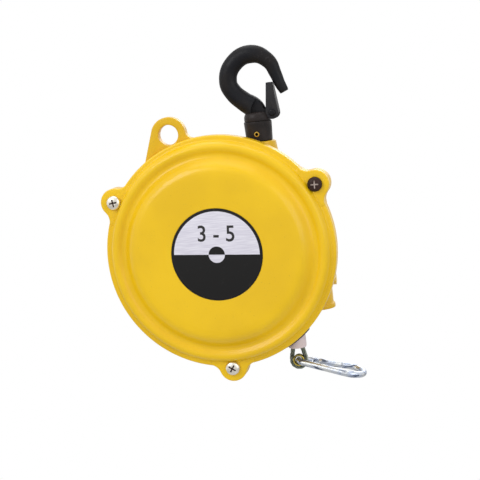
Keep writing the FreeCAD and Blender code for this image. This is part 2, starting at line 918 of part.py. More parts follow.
def make_spring_plate():
    radius = spring_radius + spring_room + barrel_wall
    y_start = drum_front_y - plate_thickness
    plate = sleeve(arbor_radius + fit_gap, radius, y_start, drum_front_y)
    holes = [
        drum_bar(plate_screw_radius + fit_gap, *plate_screw_place(i), y_start - past, drum_front_y + past)
        for i in range(plate_screw_count)
    ]
    return plate.cut(holes)


def make_plate_screws():
    y_start = drum_front_y - plate_thickness
    screws = []
    for i in range(plate_screw_count):
        x, z = plate_screw_place(i)
        head_radius = plate_screw_radius + plate_screw_head
        head = drum_bar(head_radius, x, z, y_start - plate_screw_head_height, y_start)
        shank = drum_bar(plate_screw_radius, x, z, y_start, drum_front_y + plate_screw_length)
        screws.append(head.fuse(shank))
    return Part.makeCompound(screws)


def make_drum_bush():
    return sleeve(arbor_radius + fit_gap, arbor_radius + bush_wall - fit_gap, spring_floor_y, drum_hub_end_y)


def make_mainspring():
    """The relaxed coils lie packed against the barrel; a tail runs in to the arbor."""
    y_start = drum_front_y + spring_side_gap
    y_end = spring_floor_y - spring_side_gap
    pack = sleeve(spring_pack_radius, spring_radius, y_start, y_end)
    steps = int(spring_tail_turns * spring_tail_steps)
    outer_line = []
    inner_line = []
    core = arbor_core_radius + spring_core_gap
    for i in range(steps + 1):
        share = i / steps
        angle = 2 * math.pi * spring_tail_turns * share
        radius = core + spring_sheet + (spring_pack_radius + run_gap - core - spring_sheet) * share
        outer_line.append(place(radius * math.cos(angle), y_start, radius * math.sin(angle)))
        inner = radius - spring_sheet
        inner_line.append(place(inner * math.cos(angle), y_start, inner * math.sin(angle)))
    wire = Part.makePolygon(outer_line + inner_line[::-1] + [outer_line[0]])
    tail = Part.Face(wire).extrude(along * (y_end - y_start))
    return pack.fuse(tail)


def make_arbor():
    """The fixed spindle: journals at both ends, a core for the spring and a seat for the wheel."""
    core_start = drum_front_y + core_gap
    core_end = spring_floor_y - core_gap
    seat_start = wheel_y - wheel_width / 2 - seat_lead
    seat_end = rear_bush_y - run_gap
    arbor = turned(
        [
            (0, journal_end_y),
            (journal_radius, journal_end_y),
            (journal_radius, journal_shoulder_y + run_gap),
            (arbor_radius, journal_shoulder_y + run_gap),
            (arbor_radius, core_start),
            (arbor_core_radius, core_start),
            (arbor_core_radius, core_end),
            (arbor_radius, core_end),
            (arbor_radius, seat_start),
            (wheel_seat_radius, seat_start),
            (wheel_seat_radius, seat_end),
            (journal_radius, seat_end),
            (journal_radius, rear_journal_end_y),
            (0, rear_journal_end_y),
        ]
    )
    return arbor.cut(wheel_key_box(0.0))


def wheel_key_box(gap):
    width = key_size - 2 * gap
    key = Part.makeBox(width, wheel_width, key_size)
    key.translate(place(-width / 2, wheel_y - wheel_width / 2, wheel_seat_radius - key_size / 2 + gap))
    return key


def make_wheel_key():
    return wheel_key_box(fit_gap)


def wheel_outline(turn, y):
    """The closed tooth line of the wheel at one face, turned by an angle in radians."""
    pitch_radius = module * teeth / 2
    step = 2 * math.pi / teeth
    half_tooth = (math.pi * module / 2 - backlash / 2) / 2
    corners = []
    for i in range(teeth):
        centre = (i + 0.5) * step + turn
        for radius, half in (
            (pitch_radius - dedendum, half_tooth + dedendum * flank_slope),
            (pitch_radius + addendum, half_tooth - addendum * flank_slope),
            (pitch_radius + addendum, -half_tooth + addendum * flank_slope),
            (pitch_radius - dedendum, -half_tooth - dedendum * flank_slope),
        ):
            angle = centre - half / radius
            corners.append(place(radius * math.cos(angle), y, -radius * math.sin(angle)))
    corners.append(corners[0])
    return Part.makePolygon(corners)


def make_worm_wheel():
    """Teeth set over by the lead of the worm, ruled from the front face to the back face."""
    pitch_radius = module * teeth / 2
    lead_slope = module / (2 * worm_pitch_radius)
    twist = wheel_width * lead_slope / pitch_radius
    y_start = wheel_y - wheel_width / 2
    front = wheel_outline(-twist / 2, y_start)
    back = wheel_outline(twist / 2, y_start + wheel_width)
    flanks = Part.makeRuledSurface(front, back)
    shell = Part.makeShell(flanks.Faces + [Part.Face(front), Part.Face(back)])
    shell.sewShape()
    wheel = Part.makeSolid(Part.makeShell(shell.Faces))
    if wheel.Volume < 0:
        wheel.reverse()
    hub = drum_bar(wheel_hub_radius, 0, 0, y_start - wheel_hub_lead, y_start + wheel_width + wheel_hub_tail)
    wheel = wheel.fuse(hub)
    bore = drum_bar(wheel_seat_radius + fit_gap, 0, 0, y_start - wheel_width, y_start + 2 * wheel_width)
    wheel = wheel.cut(bore)
    slot = Part.makeBox(key_size, 2 * wheel_width, key_size + run_gap)
    slot.translate(place(-key_size / 2, y_start - wheel_width / 2, wheel_seat_radius - key_size / 2))
    return wheel.cut(slot)


def make_worm():
    """A single-start worm with a shank down to a hexagon socket."""
    x = worm_reach
    centre = place(x, wheel_y)
    lead = math.pi * module
    root = worm_pitch_radius - dedendum
    crest = worm_pitch_radius + addendum
    height = thread_turns * lead
    half_pitch_line = (lead / 2 - backlash / 2) / 2
    half_root = half_pitch_line + (dedendum + thread_sink) * flank_slope
    half_crest = half_pitch_line - addendum * flank_slope
    corners = [
        (root - thread_sink, -half_root),
        (crest, -half_crest),
        (crest, half_crest),
        (root - thread_sink, half_root),
    ]
    steps = thread_steps * thread_turns
    sections = []
    for i in range(steps + 1):
        angle = math.pi + 2 * math.pi * thread_turns * i / steps
        outward = FreeCAD.Vector(math.cos(angle), math.sin(angle), 0)
        rise = height * (i / steps - 0.5)
        ring = [centre + outward * radius + up * (rise + offset) for radius, offset in corners]
        sections.append(ring)
    thread = faceted(sections)
    core = post(root, x, wheel_y, -worm_top - lead, worm_top + lead)
    blank = post(crest + past, x, wheel_y, -worm_top, worm_top)
    shank = post(worm_shank_radius, x, wheel_y, -worm_end, -worm_top + past)
    journal = post(worm_journal_radius, x, wheel_y, worm_top - past, worm_top + worm_journal_length)
    worm = core.fuse(thread).common(blank).multiFuse([shank, journal])
    socket = hexagon(hex_flats, place(x, wheel_y, -worm_end - past), up, hex_depth + past)
    return worm.cut(socket)


def make_lead_rope():
    return post(rope_radius, rope_radius_small, 0, -stopper_top - stopper_cap, 0)


def make_rope_stopper():
    """The rubber buffer over the crimp, which lands in the guide."""
    x = rope_radius_small
    body = turned_up(
        [
            (0, -stopper_foot),
            (stopper_radius, -stopper_foot),
            (stopper_radius - stopper_draft, -stopper_top),
            (0, -stopper_top),
        ],
        x=wire_x,
        base=drum_z,
    )
    body = body.cut(post(crimp_radius + fit_gap, x, 0, -stopper_foot - past, -stopper_top - stopper_cap))
    return body.cut(post(rope_radius + fit_gap, x, 0, -stopper_foot - past, 0))


def make_crimp_sleeve():
    x = rope_radius_small
    ring = post(crimp_radius, x, 0, -stopper_foot, -stopper_top - stopper_cap)
    return ring.cut(post(rope_radius + fit_gap, x, 0, -stopper_foot, 0))


def make_rope_eye():
    """A loop of rope round the thimble; its two legs close up under the stopper."""
    centre = FreeCAD.Vector(wire_x, 0, drum_z - eye_centre)
    leg_top = eye_centre - stopper_foot
    reach = math.hypot(eye_leg_spread, leg_top + past)
    touch = math.atan2(leg_top + past, eye_leg_spread) - math.acos(eye_radius / reach)
    sides = []
    for side in (-1, 1):
        top = centre + FreeCAD.Vector(side * eye_leg_spread, 0, leg_top + past)
        turn = FreeCAD.Vector(side * eye_radius * math.cos(touch), 0, eye_radius * math.sin(touch))
        sides.append((top, centre + turn))
    bottom = centre - up * eye_radius
    path = [
        Part.LineSegment(sides[0][0], sides[0][1]).toShape(),
        Part.Arc(sides[0][1], bottom, sides[1][1]).toShape(),
        Part.LineSegment(sides[1][1], sides[1][0]).toShape(),
    ]
    loop = faceted_rod(path_stations(path, rope_radius, bend_step), eye_sides, along)
    return loop.cut(bar(3 * eye_radius, centre + up * leg_top, up, cut_reach))


def make_eye_thimble():
    """The grooved lining of the eye, flared at both mouths for the bend of the carabiner."""
    centre = FreeCAD.Vector(wire_x, 0, drum_z - eye_centre)
    bore = rod_radius + thimble_gap
    bend = clip_end_radius - rod_radius
    mouth = bore + bend - math.sqrt(bend**2 - thimble_half_depth**2)
    groove = rope_radius + thimble_groove_gap
    groove_half = thimble_groove_share * groove
    groove_top = eye_radius - math.sqrt(groove**2 - groove_half**2)
    rim = mouth + thimble_wall
    half = thimble_half_depth
    points = [
        (rim, half),
        (rim, groove_half + thimble_lip),
    ]
    floor = (eye_radius - groove, 0)
    points += curve_points((groove_top, groove_half), floor, (groove_top, -groove_half), thimble_steps)
    points += [(rim, -groove_half - thimble_lip), (rim, -half)]
    points += curve_points((mouth, -half), (bore, 0), (mouth, half), thimble_steps)
    face = outline(points, lambda r, y: centre + FreeCAD.Vector(r, y, 0))
    return face.revolve(centre, along, 360)


def clip_frame():
    """The carabiner's own frame: X along its length, Y across it, turned down to its rest."""
    turn = FreeCAD.Rotation(along, clip_droop)
    return FreeCAD.Placement(FreeCAD.Vector(wire_x, 0, drum_z - eye_centre), turn)


def clip_circles():
    narrow_x = clip_end_radius
    wide_radius = clip_width / 2 - rod_radius
    wide_x = clip_length - 2 * rod_radius - wide_radius
    flare = math.asin((wide_radius - clip_end_radius) / (wide_x - narrow_x))
    return narrow_x, wide_x, wide_radius, flare


def gate_line(distance):
    """A point on the gate's side of the carabiner, at a distance from the narrow end's arc."""
    narrow_x, wide_x, wide_radius, flare = clip_circles()
    return FreeCAD.Vector(
        narrow_x - clip_end_radius * math.sin(flare) + distance * math.cos(flare),
        clip_end_radius * math.cos(flare) + distance * math.sin(flare),
        0,
    )


def gate_direction():
    flare = clip_circles()[3]
    return FreeCAD.Vector(math.cos(flare), math.sin(flare), 0)


def make_carabiner():
    """A pear-shaped spring clip of round rod, open where its gate closes it."""
    narrow_x, wide_x, wide_radius, flare = clip_circles()
    narrow = FreeCAD.Vector(narrow_x, 0, 0)
    wide = FreeCAD.Vector(wide_x, 0, 0)

    def rim(centre, radius, angle):
        return centre + FreeCAD.Vector(radius * math.cos(angle), radius * math.sin(angle), 0)

    quarter = math.pi / 2 + flare
    hinge_end = gate_line(gate_start + gate_hinge_end)
    nose = gate_line(gate_end + gate_gap)
    path = [
        Part.LineSegment(hinge_end, rim(narrow, clip_end_radius, quarter)).toShape(),
        Part.Arc(
            rim(narrow, clip_end_radius, quarter),
            rim(narrow, clip_end_radius, math.pi),
            rim(narrow, clip_end_radius, -quarter),
        ).toShape(),
        Part.LineSegment(
            rim(narrow, clip_end_radius, -quarter), rim(wide, wide_radius, -quarter)
        ).toShape(),
        Part.Arc(
            rim(wide, wide_radius, -quarter), rim(wide, wide_radius, 0), rim(wide, wide_radius, quarter)
        ).toShape(),
        Part.LineSegment(rim(wide, wide_radius, quarter), nose).toShape(),
    ]
    rod = faceted_rod(path_stations(path, rod_radius, bend_step), rod_sides, up)
    pin = gate_line(gate_start)
    keep_in = bar(rod_radius + fit_gap, pin - up * cut_reach, up, 2 * cut_reach)
    ahead = Part.makeBox(gate_clear, 4 * rod_radius, cut_reach)
    ahead.translate(FreeCAD.Vector(0, -2 * rod_radius, -cut_reach / 2))
    at_pin = FreeCAD.Placement(pin, FreeCAD.Rotation(up, math.degrees(flare)))
    ahead.Placement = at_pin.multiply(ahead.Placement)
    rod = rod.cut(ahead.cut(keep_in))
    slot = Part.makeBox(gate_slot_length, 4 * rod_radius, gate_tongue + 2 * gate_slot_gap)
    slot.translate(FreeCAD.Vector(-gate_slot_back, -2 * rod_radius, -gate_tongue / 2 - gate_slot_gap))
    slot.Placement = at_pin.multiply(slot.Placement)
    rod = rod.cut(slot)
    rod = rod.cut(bar(gate_pin_radius + fit_gap, pin - up * cut_reach, up, 2 * cut_reach))
    rod.Placement = clip_frame().multiply(rod.Placement)
    return rod


def make_carabiner_gate():
    pin = gate_line(gate_start)
    start = pin - gate_direction() * rod_radius
    length = gate_end - gate_start + rod_radius
    gate = bar(rod_radius - fit_gap, start, gate_direction(), length)
    knuckle = bar(rod_radius + gate_knuckle_gap, pin - up * cut_reach, up, 2 * cut_reach)
    shoulder = gate.cut(knuckle)
    behind = Part.makeBox(cut_reach, 2 * cut_reach, 2 * cut_reach)
    behind.translate(FreeCAD.Vector(-cut_reach, -cut_reach, -cut_reach))
    turn = FreeCAD.Rotation(up, math.degrees(clip_circles()[3]))
    behind.Placement = FreeCAD.Placement(pin, turn).multiply(behind.Placement)
    shoulder = shoulder.cut(behind)
    tongue = gate.common(bar(clip_length, pin - up * (gate_tongue / 2), up, gate_tongue))
    round_end = bar(rod_radius - 3 * fit_gap, pin - up * (gate_tongue / 2), up, gate_tongue)
    tongue = tongue.cut(behind).fuse(round_end)
    gate = shoulder.fuse(tongue).cut(bar(gate_pin_radius + fit_gap, pin - up * cut_reach, up, 2 * cut_reach))
    gate.Placement = clip_frame().multiply(gate.Placement)
    return gate


def make_gate_pin():
    half = rod_radius - run_gap
    pin = bar(gate_pin_radius, gate_line(gate_start) - up * half, up, 2 * half)
    pin.Placement = clip_frame().multiply(pin.Placement)
    return pin


parts = {
    "rear_case": make_rear_case,
    "front_cover": make_front_cover,
    "cover_screws": make_cover_screws,
    "cover_screw_dark": make_cover_screw_dark,
    "label_plate": make_label_plate,
    "wire_guide": make_wire_guide,
    "front_bush": make_front_bush,
    "rear_bush": make_rear_bush,
    "worm_bush": make_worm_bush,
    "worm_lock_screw": make_worm_lock_screw,
    "top_hook": make_top_hook,
    "swivel_stud": make_swivel_stud,
    "hook_pin": make_hook_pin,
    "swivel_washer": make_swivel_washer,
    "swivel_nut": make_swivel_nut,
    "latch_pin": make_latch_pin,
    "hook_latch": make_hook_latch,
    "rope_drum": make_rope_drum,
    "wound_rope": make_wound_rope,
    "spring_plate": make_spring_plate,
    "plate_screws": make_plate_screws,
    "drum_bush": make_drum_bush,
    "mainspring": make_mainspring,
    "arbor": make_arbor,
    "wheel_key": make_wheel_key,
    "worm_wheel": make_worm_wheel,
    "worm": make_worm,
    "lead_rope": make_lead_rope,
    "rope_stopper": make_rope_stopper,
    "crimp_sleeve": make_crimp_sleeve,
    "rope_eye": make_rope_eye,
    "eye_thimble": make_eye_thimble,
    "carabiner": make_carabiner,
    "carabiner_gate": make_carabiner_gate,
    "gate_pin": make_gate_pin,
}

for name, make in parts.items():
    shape = make()
    shape.exportStep("parts/" + name + ".step")
    print(name, len(shape.Solids), round(shape.Volume, 1), shape.isValid())
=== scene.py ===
import math

import bpy
from mathutils import Matrix, Quaternion, Vector


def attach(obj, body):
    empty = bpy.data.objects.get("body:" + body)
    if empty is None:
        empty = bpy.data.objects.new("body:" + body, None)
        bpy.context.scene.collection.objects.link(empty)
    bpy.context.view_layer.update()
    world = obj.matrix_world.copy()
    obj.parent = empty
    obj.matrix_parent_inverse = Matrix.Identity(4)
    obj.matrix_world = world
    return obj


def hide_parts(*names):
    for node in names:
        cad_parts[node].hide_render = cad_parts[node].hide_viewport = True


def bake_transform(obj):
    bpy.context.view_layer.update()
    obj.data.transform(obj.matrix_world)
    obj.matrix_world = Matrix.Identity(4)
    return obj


# Spring balancer for hand tools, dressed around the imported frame
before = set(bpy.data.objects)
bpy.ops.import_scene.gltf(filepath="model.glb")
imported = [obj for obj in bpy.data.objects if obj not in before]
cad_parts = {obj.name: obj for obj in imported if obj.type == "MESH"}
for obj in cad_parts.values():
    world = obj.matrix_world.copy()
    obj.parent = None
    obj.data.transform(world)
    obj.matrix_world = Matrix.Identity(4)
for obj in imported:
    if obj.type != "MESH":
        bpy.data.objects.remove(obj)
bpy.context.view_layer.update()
mm = 0.001
print("frame loaded:", len(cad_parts), "nodes")

# Places that several pieces share, in millimetres from the middle of the hook's bowl
layout = {
    "drumX": -30.0,
    "drumZ": -117.0,
    "wireX": 10.0,
    "eyeZ": -195.6,
    "wormX": 23.5,
    "wormY": 26.5,
    "latchX": 10.6,
    "latchZ": -32.4,
    "rimRadius": 75.0,
}
lugAngles = {"left": 150.0, "right": 30.0, "bottom": 270.0}


def spot(x, y, z):
    return Vector((x, y, z)) * mm


drumCentre = spot(layout["drumX"], 0, layout["drumZ"])

# Each axis, with the turn that sets a circle or a cylinder square to it
axes = {
    "X": (Vector((1, 0, 0)), (0.0, math.pi / 2, 0.0)),
    "Y": (Vector((0, 1, 0)), (-math.pi / 2, 0.0, 0.0)),
    "Z": (Vector((0, 0, 1)), (0.0, 0.0, 0.0)),
}


# The camera stands where the picture was taken, a little to the right and above
photoCamera = {
    "aim": (-5.0, 0.0, -100.0),
    "distance": 900.0,
    "azimuth": 10.59,
    "elevation": 6.77,
    "roll": -6.36,
    "lens": 103.76,
    "sensor": 36.0,
    "shift": (-0.0433, -0.0456),
}


def placeCamera(view):
    turn = math.radians(view["azimuth"])
    lift = math.radians(view["elevation"])
    back = Vector((math.sin(turn) * math.cos(lift), -math.cos(turn) * math.cos(lift), math.sin(lift)))
    bpy.ops.object.camera_add(location=spot(*view["aim"]) + back * view["distance"] * mm)
    camera = bpy.context.object
    camera.name = "photoCamera"
    camera.rotation_mode = "QUATERNION"
    roll = Quaternion(back, math.radians(view["roll"]))
    camera.rotation_quaternion = roll @ (-back).to_track_quat("-Z", "Y")
    camera.data.sensor_width = view["sensor"]
    camera.data.lens = view["lens"]
    camera.data.shift_x, camera.data.shift_y = view["shift"]
    bpy.context.scene.camera = camera


placeCamera(photoCamera)
print("camera placed")


# Finishes

def srgb(red, green, blue):
    # A screen colour of 0 to 255 as the light that Blender reckons with
    parts = []
    for value in (red, green, blue):
        share = value / 255
        parts.append(share / 12.92 if share <= 0.04045 else ((share + 0.055) / 1.055) ** 2.4)
    return (*parts, 1.0)


class Signal:
    # One output socket. Reckoning with it adds Math nodes to the same finish
    def __init__(self, finish, socket):
        self.finish = finish
        self.socket = socket

    def __add__(self, other):
        return self.finish.maths("ADD", self, other)

    def __sub__(self, other):
        return self.finish.maths("SUBTRACT", self, other)

    def __rsub__(self, other):
        return self.finish.maths("SUBTRACT", other, self)

    def __mul__(self, other):
        return self.finish.maths("MULTIPLY", self, other)

    def __pow__(self, other):
        return self.finish.maths("POWER", self, other)


class Finish:
    # One material, with a method for each kind of node that it takes
    def __init__(self, name, look):
        self.material = bpy.data.materials.new(name)
        self.material.use_nodes = True
        self.nodes = self.material.node_tree.nodes
        self.links = self.material.node_tree.links
        self.shader = self.nodes["Principled BSDF"]
        for socket, value in look.items():
            self.shader.inputs[socket].default_value = value
        self.place = self.node("ShaderNodeTexCoord", {}, {}, "Object")

    def node(self, kind, settings, sockets, output=0):
        node = self.nodes.new(kind)
        for name, value in settings.items():
            setattr(node, name, value)
        for name, value in sockets.items():
            if isinstance(value, Signal):
                self.links.new(value.socket, node.inputs[name])
            else:
                node.inputs[name].default_value = value
        return Signal(self, node.outputs[output])

    def maths(self, operation, first, second):
        return self.node("ShaderNodeMath", {"operation": operation}, {0: first, 1: second})

    def mixed(self, factor, low, high):
        # Sockets 6 and 7 are the colours of a Mix node, and output 2 is its colour
        return self.node("ShaderNodeMix", {"data_type": "RGBA"}, {0: factor, 6: low, 7: high}, 2)

    def stretched(self, scale):
        return self.node("ShaderNodeMapping", {}, {"Vector": self.place, "Scale": scale})

    def noise(self, size, detail=2.0, where=None):
        # The size is the width of a blotch in millimetres
        sockets = {"Vector": where or self.place, "Scale": 1 / (size * mm), "Detail": detail}
        return self.node("ShaderNodeTexNoise", {}, sockets)

    def between(self, value, low, high, start=0.0, end=1.0):
        settings = {"interpolation_type": "SMOOTHSTEP"}
        sockets = {"Value": value, "From Min": low, "From Max": high, "To Min": start, "To Max": end}
        return self.node("ShaderNodeMapRange", settings, sockets)

    def axis(self, name):
        return self.node("ShaderNodeSeparateXYZ", {}, {"Vector": self.place}, name)

    def rounded(self, size):
        # Softens the look of sharp edges
        return self.node("ShaderNodeBevel", {"samples": 4}, {"Radius": size * mm})

    def bump(self, height, depth, under, strength):
        sockets = {"Height": height, "Distance": depth * mm, "Strength": strength, "Normal": under}
        return self.node("ShaderNodeBump", {}, sockets)

    def drive(self, **sockets):
        names = {"colour": "Base Color", "roughness": "Roughness", "metal": "Metallic", "normal": "Normal"}
        for name, signal in sockets.items():
            self.links.new(signal.socket, self.shader.inputs[names[name]])
        return self.material


def makeCasePaint(name, colour):
    look = {"Coat Weight": 0.16, "Coat Roughness": 0.12, "IOR": 1.45, "Specular IOR Level": 0.4}
    paint = Finish(name, look)
    cloud = paint.noise(38.0, 3.0)
    fine = paint.noise(2.2, 2.0)
    pale = [min(1.0, c * 1.06) for c in colour[:3]] + [1.0]
    deep = [colour[0] * 0.97, colour[1] * 0.95, colour[2] * 0.9, 1.0]
    tone = paint.mixed(paint.between(cloud, 0.3, 0.7), deep, pale)
    specks = paint.between(paint.noise(0.9, 1.0), 0.73, 0.78)
    tone = paint.mixed(specks * 0.25, tone, (0.28, 0.17, 0.02, 1.0))
    peel = fine + paint.noise(0.7, 1.0) * 0.4
    normal = paint.bump(peel, 0.05, paint.rounded(0.5), 0.5)
    rough = paint.between(cloud + fine * 0.4, 0.4, 1.0, 0.28, 0.42)
    return paint.drive(colour=tone, roughness=rough, normal=normal)


def makeZinc(name, colour, warm, line, share, roughRange=(0.2, 0.38)):
    # Plated steel: a bright ground with darker streaks along it, which are painted dark reflections
    zinc = Finish(name, {"Metallic": 1.0})
    cloud = zinc.noise(6.0, 3.0)
    spangle = zinc.node("ShaderNodeTexVoronoi", {}, {"Vector": zinc.place, "Scale": 900.0}, "Distance")
    tone = zinc.mixed(zinc.between(cloud, 0.35, 0.65), colour, warm)
    darkReflections = zinc.noise(1.6, 2.0, zinc.stretched((0.12, 1.0, 0.7)))
    # The line colour, at the given share, paints dark reflections as streaks along the metal
    tone = zinc.mixed(zinc.between(darkReflections, 0.52, 0.64) * share, tone, line)
    scratches = zinc.noise(1.2, 4.0, zinc.stretched((1.0, 1.0, 0.12)))
    normal = zinc.bump(scratches + spangle * 0.3, 0.03, zinc.rounded(0.25), 0.4)
    rough = zinc.between(cloud + spangle * 0.3, 0.3, 0.9, *roughRange)
    return zinc.drive(colour=tone, roughness=rough, normal=normal)


def makeBlackSteel(name, colour, brown):
    steel = Finish(name, {"IOR": 1.5, "Specular IOR Level": 0.18})
    cloud = steel.noise(9.0, 4.0)
    pits = steel.noise(1.6, 3.0)
    tone = steel.mixed(steel.between(cloud, 0.35, 0.7), colour, brown)
    worn = steel.between(pits * cloud, 0.36, 0.46)
    tone = steel.mixed(worn * 0.25, tone, srgb(70, 69, 70))
    normal = steel.bump(cloud * 0.8 + pits * 0.5, 0.22, steel.rounded(0.5), 0.5)
    rough = steel.between(cloud + pits * 0.5, 0.5, 1.0, 0.36, 0.6)
    return steel.drive(colour=tone, roughness=rough, normal=normal)


def makeRubber(name, colour, grain, smoothest):
    # Rubber, plastic and ink: a dusty ground with a fine grain
    rubber = Finish(name, {"IOR": 1.45})
    cloud = rubber.noise(8.0, 3.0)
    dust = rubber.noise(grain, 2.0)
    dark = [c * 0.78 for c in colour[:3]] + [1.0]
    tone = rubber.mixed(rubber.between(cloud + dust * 0.3, 0.45, 0.85), dark, colour)
    normal = rubber.bump(dust, 0.06, rubber.rounded(0.4), 0.6)
    rough = rubber.between(cloud, 0.2, 0.8, smoothest, smoothest + 0.16)
    return rubber.drive(colour=tone, roughness=rough, normal=normal)


def makeTurnedMetal(name, colour, tint, smoothest, depth=0.02):
    # Bare metal with the fine rings of a lathe
    metal = Finish(name, {"Metallic": 1.0})
    cloud = metal.noise(7.0, 3.0)
    rings = metal.noise(0.6, 2.0, metal.stretched((0.25, 1.0, 0.25)))
    tone = metal.mixed(metal.between(cloud, 0.3, 0.75), colour, tint)
    normal = metal.bump(rings, depth, metal.rounded(0.2), 0.5)
    rough = metal.between(cloud + rings * 0.5, 0.4, 1.1, smoothest, smoothest + 0.15)
    return metal.drive(colour=tone, roughness=rough, normal=normal)


def makeLabelPrint(name, plate):
    # A silver half above a black half, swapped inside the dot and black outside the printed ring
    label = Finish(name, {"IOR": 1.45, "Specular IOR Level": 0.3})
    across = label.axis("X") - layout["drumX"] * mm
    rise = label.axis("Z") - layout["drumZ"] * mm
    reach = (across * across + rise * rise) ** 0.5
    height = rise * math.cos(plate["turn"]) + across * math.sin(plate["turn"])
    soft = plate["soft"] * mm
    inside = label.between(reach, plate["inner"] * mm - soft, plate["inner"] * mm + soft, 1.0, 0.0)
    upper = label.between(height, -soft, soft)
    dot = label.between(reach, plate["dot"] * mm - soft, plate["dot"] * mm + soft, 1.0, 0.0)
    flipped = upper * (1 - dot) + dot * (1 - upper)
    silver = inside * flipped
    grain = label.noise(0.5, 2.0, label.stretched((0.05, 1.0, 1.0)))
    pale = label.mixed(label.between(grain, 0.3, 0.7), plate["silver"], plate["brightSilver"])
    scuff = label.between(label.noise(3.0, 4.0), 0.62, 0.75)
    dark = label.mixed(scuff * 0.15, plate["black"], plate["scuffed"])
    tone = label.mixed(silver, dark, pale)
    normal = label.bump(silver * 0.6 + grain * 0.08, 0.03, label.rounded(0.15), 0.5)
    rough = 0.4 - silver * 0.06 + grain * 0.06
    return label.drive(colour=tone, metal=silver * 0.15, roughness=rough, normal=normal)


labelPlate = {
    "inner": 27.7,
    "dot": 5.25,
    "soft": 0.06,
    "turn": math.radians(4.4),
    "silver": srgb(212, 209, 222),
    "brightSilver": srgb(230, 228, 238),
    "black": srgb(14, 13, 13),
    "scuffed": srgb(60, 58, 56),
}

# The finish of each material slot
finishes = {
    "case_paint": makeCasePaint("yellowPaint", srgb(238, 194, 12)),
    "zinc_steel": makeZinc("zincSteel", srgb(184, 193, 211), srgb(214, 216, 216), srgb(66, 80, 108), 0.9),
    "case_lock_screw": makeCasePaint("paintedScrew", srgb(230, 190, 30)),
    "black_steel": makeBlackSteel("blackForging", srgb(15, 16, 21), srgb(25, 22, 22)),
    "label_plate": makeLabelPrint("labelPrint", labelPlate),
    "black_plastic": makeRubber("blackGuide", srgb(34, 33, 34), 0.7, 0.45),
    "bronze": makeTurnedMetal("bushBronze", srgb(166, 124, 72), srgb(142, 100, 58), 0.3),
    "brass_pin": makeTurnedMetal("pinBrass", srgb(196, 158, 70), srgb(150, 118, 46), 0.25),
    "drum_alloy": makeTurnedMetal("castAlloy", srgb(182, 184, 188), srgb(158, 160, 166), 0.38, 0.06),
    "wire_rope": makeZinc(
        "ropeWire", srgb(128, 134, 124), srgb(104, 112, 96), srgb(62, 66, 58), 0.6, (0.28, 0.46)
    ),
    "spring_steel": makeTurnedMetal("blueSpring", srgb(84, 92, 112), srgb(112, 104, 96), 0.24),
    "grey_rubber": makeRubber("greyRubber", srgb(228, 211, 211), 0.8, 0.45),
    "yellow_zinc": makeZinc(
        "yellowZinc", srgb(190, 168, 78), srgb(160, 154, 98), srgb(92, 84, 46), 0.6, (0.22, 0.4)
    ),
}

# Finishes of single pieces that look a little different from the rest of their slot; some carry painted
# shade, a painted dark reflection or a painted highlight
special = {
    # The rear case's yellow made deeper: painted shade on the same paint as the cover
    "shadedRearPaint": makeCasePaint("shadedRearPaint", srgb(222, 178, 14)),
    "screwZinc": makeZinc("screwZinc", srgb(228, 223, 212), srgb(238, 231, 217), srgb(168, 162, 152), 0.35),
    # Pale zinc for a painted highlight on the floor of the right screw's recess
    "paintedHighlightZinc": makeZinc("paintedHighlightZinc", srgb(196, 180, 172), srgb(160, 144, 134), srgb(104, 90, 80), 0.5),
    # Dark steel for painted shade in the screw recesses and a painted dark reflection on the right screw's
    # head
    "shadeAndDarkReflection": makeBlackSteel("shadeAndDarkReflectionSteel", srgb(44, 28, 24), srgb(62, 42, 36)),
    "socketSteel": makeBlackSteel("socketSteel", srgb(40, 34, 33), srgb(27, 24, 24)),
    "latchSteel": makeBlackSteel("latchSteel", srgb(34, 34, 38), srgb(44, 43, 44)),
    "numeralInk": makeRubber("numeralInk", srgb(30, 29, 30), 1.2, 0.4),
}
print("finishes made:", len(finishes) + len(special))


# Making shapes: corners of a profile take four steps, and a bent rod or rope is divided as given here
cornerSteps = 4
rodDetail = {"alongRod": 8, "alongRope": 12, "around": 8, "merge": 0.001}
smoothAngle = math.radians(35.0)


def pickOnly(*pieces):
    bpy.ops.object.select_all(action="DESELECT")
    for piece in pieces:
        piece.select_set(True)
    bpy.context.view_layer.objects.active = pieces[0]


def settle(piece):
    # The place, turn and scale go into the mesh
    pickOnly(piece)
    bpy.ops.object.transform_apply(location=True, rotation=True, scale=True)


def softened(points):
    # Rounds the corners of a profile; a third number is how far the round reaches along each side
    line = []
    for i, point in enumerate(points):
        here = Vector(point[:2])
        reach = point[2] if len(point) > 2 else 0.0
        if not reach or i in (0, len(points) - 1):
            line.append(tuple(here))
            continue
        before = Vector(points[i - 1][:2]) - here
        after = Vector(points[i + 1][:2]) - here
        start = here + before.normalized() * min(reach, before.length * 0.5)
        end = here + after.normalized() * min(reach, after.length * 0.5)
        for step in range(cornerSteps + 1):
            share = step / cornerSteps
            line.append(tuple(start.lerp(here, share).lerp(here.lerp(end, share), share)))
    return line


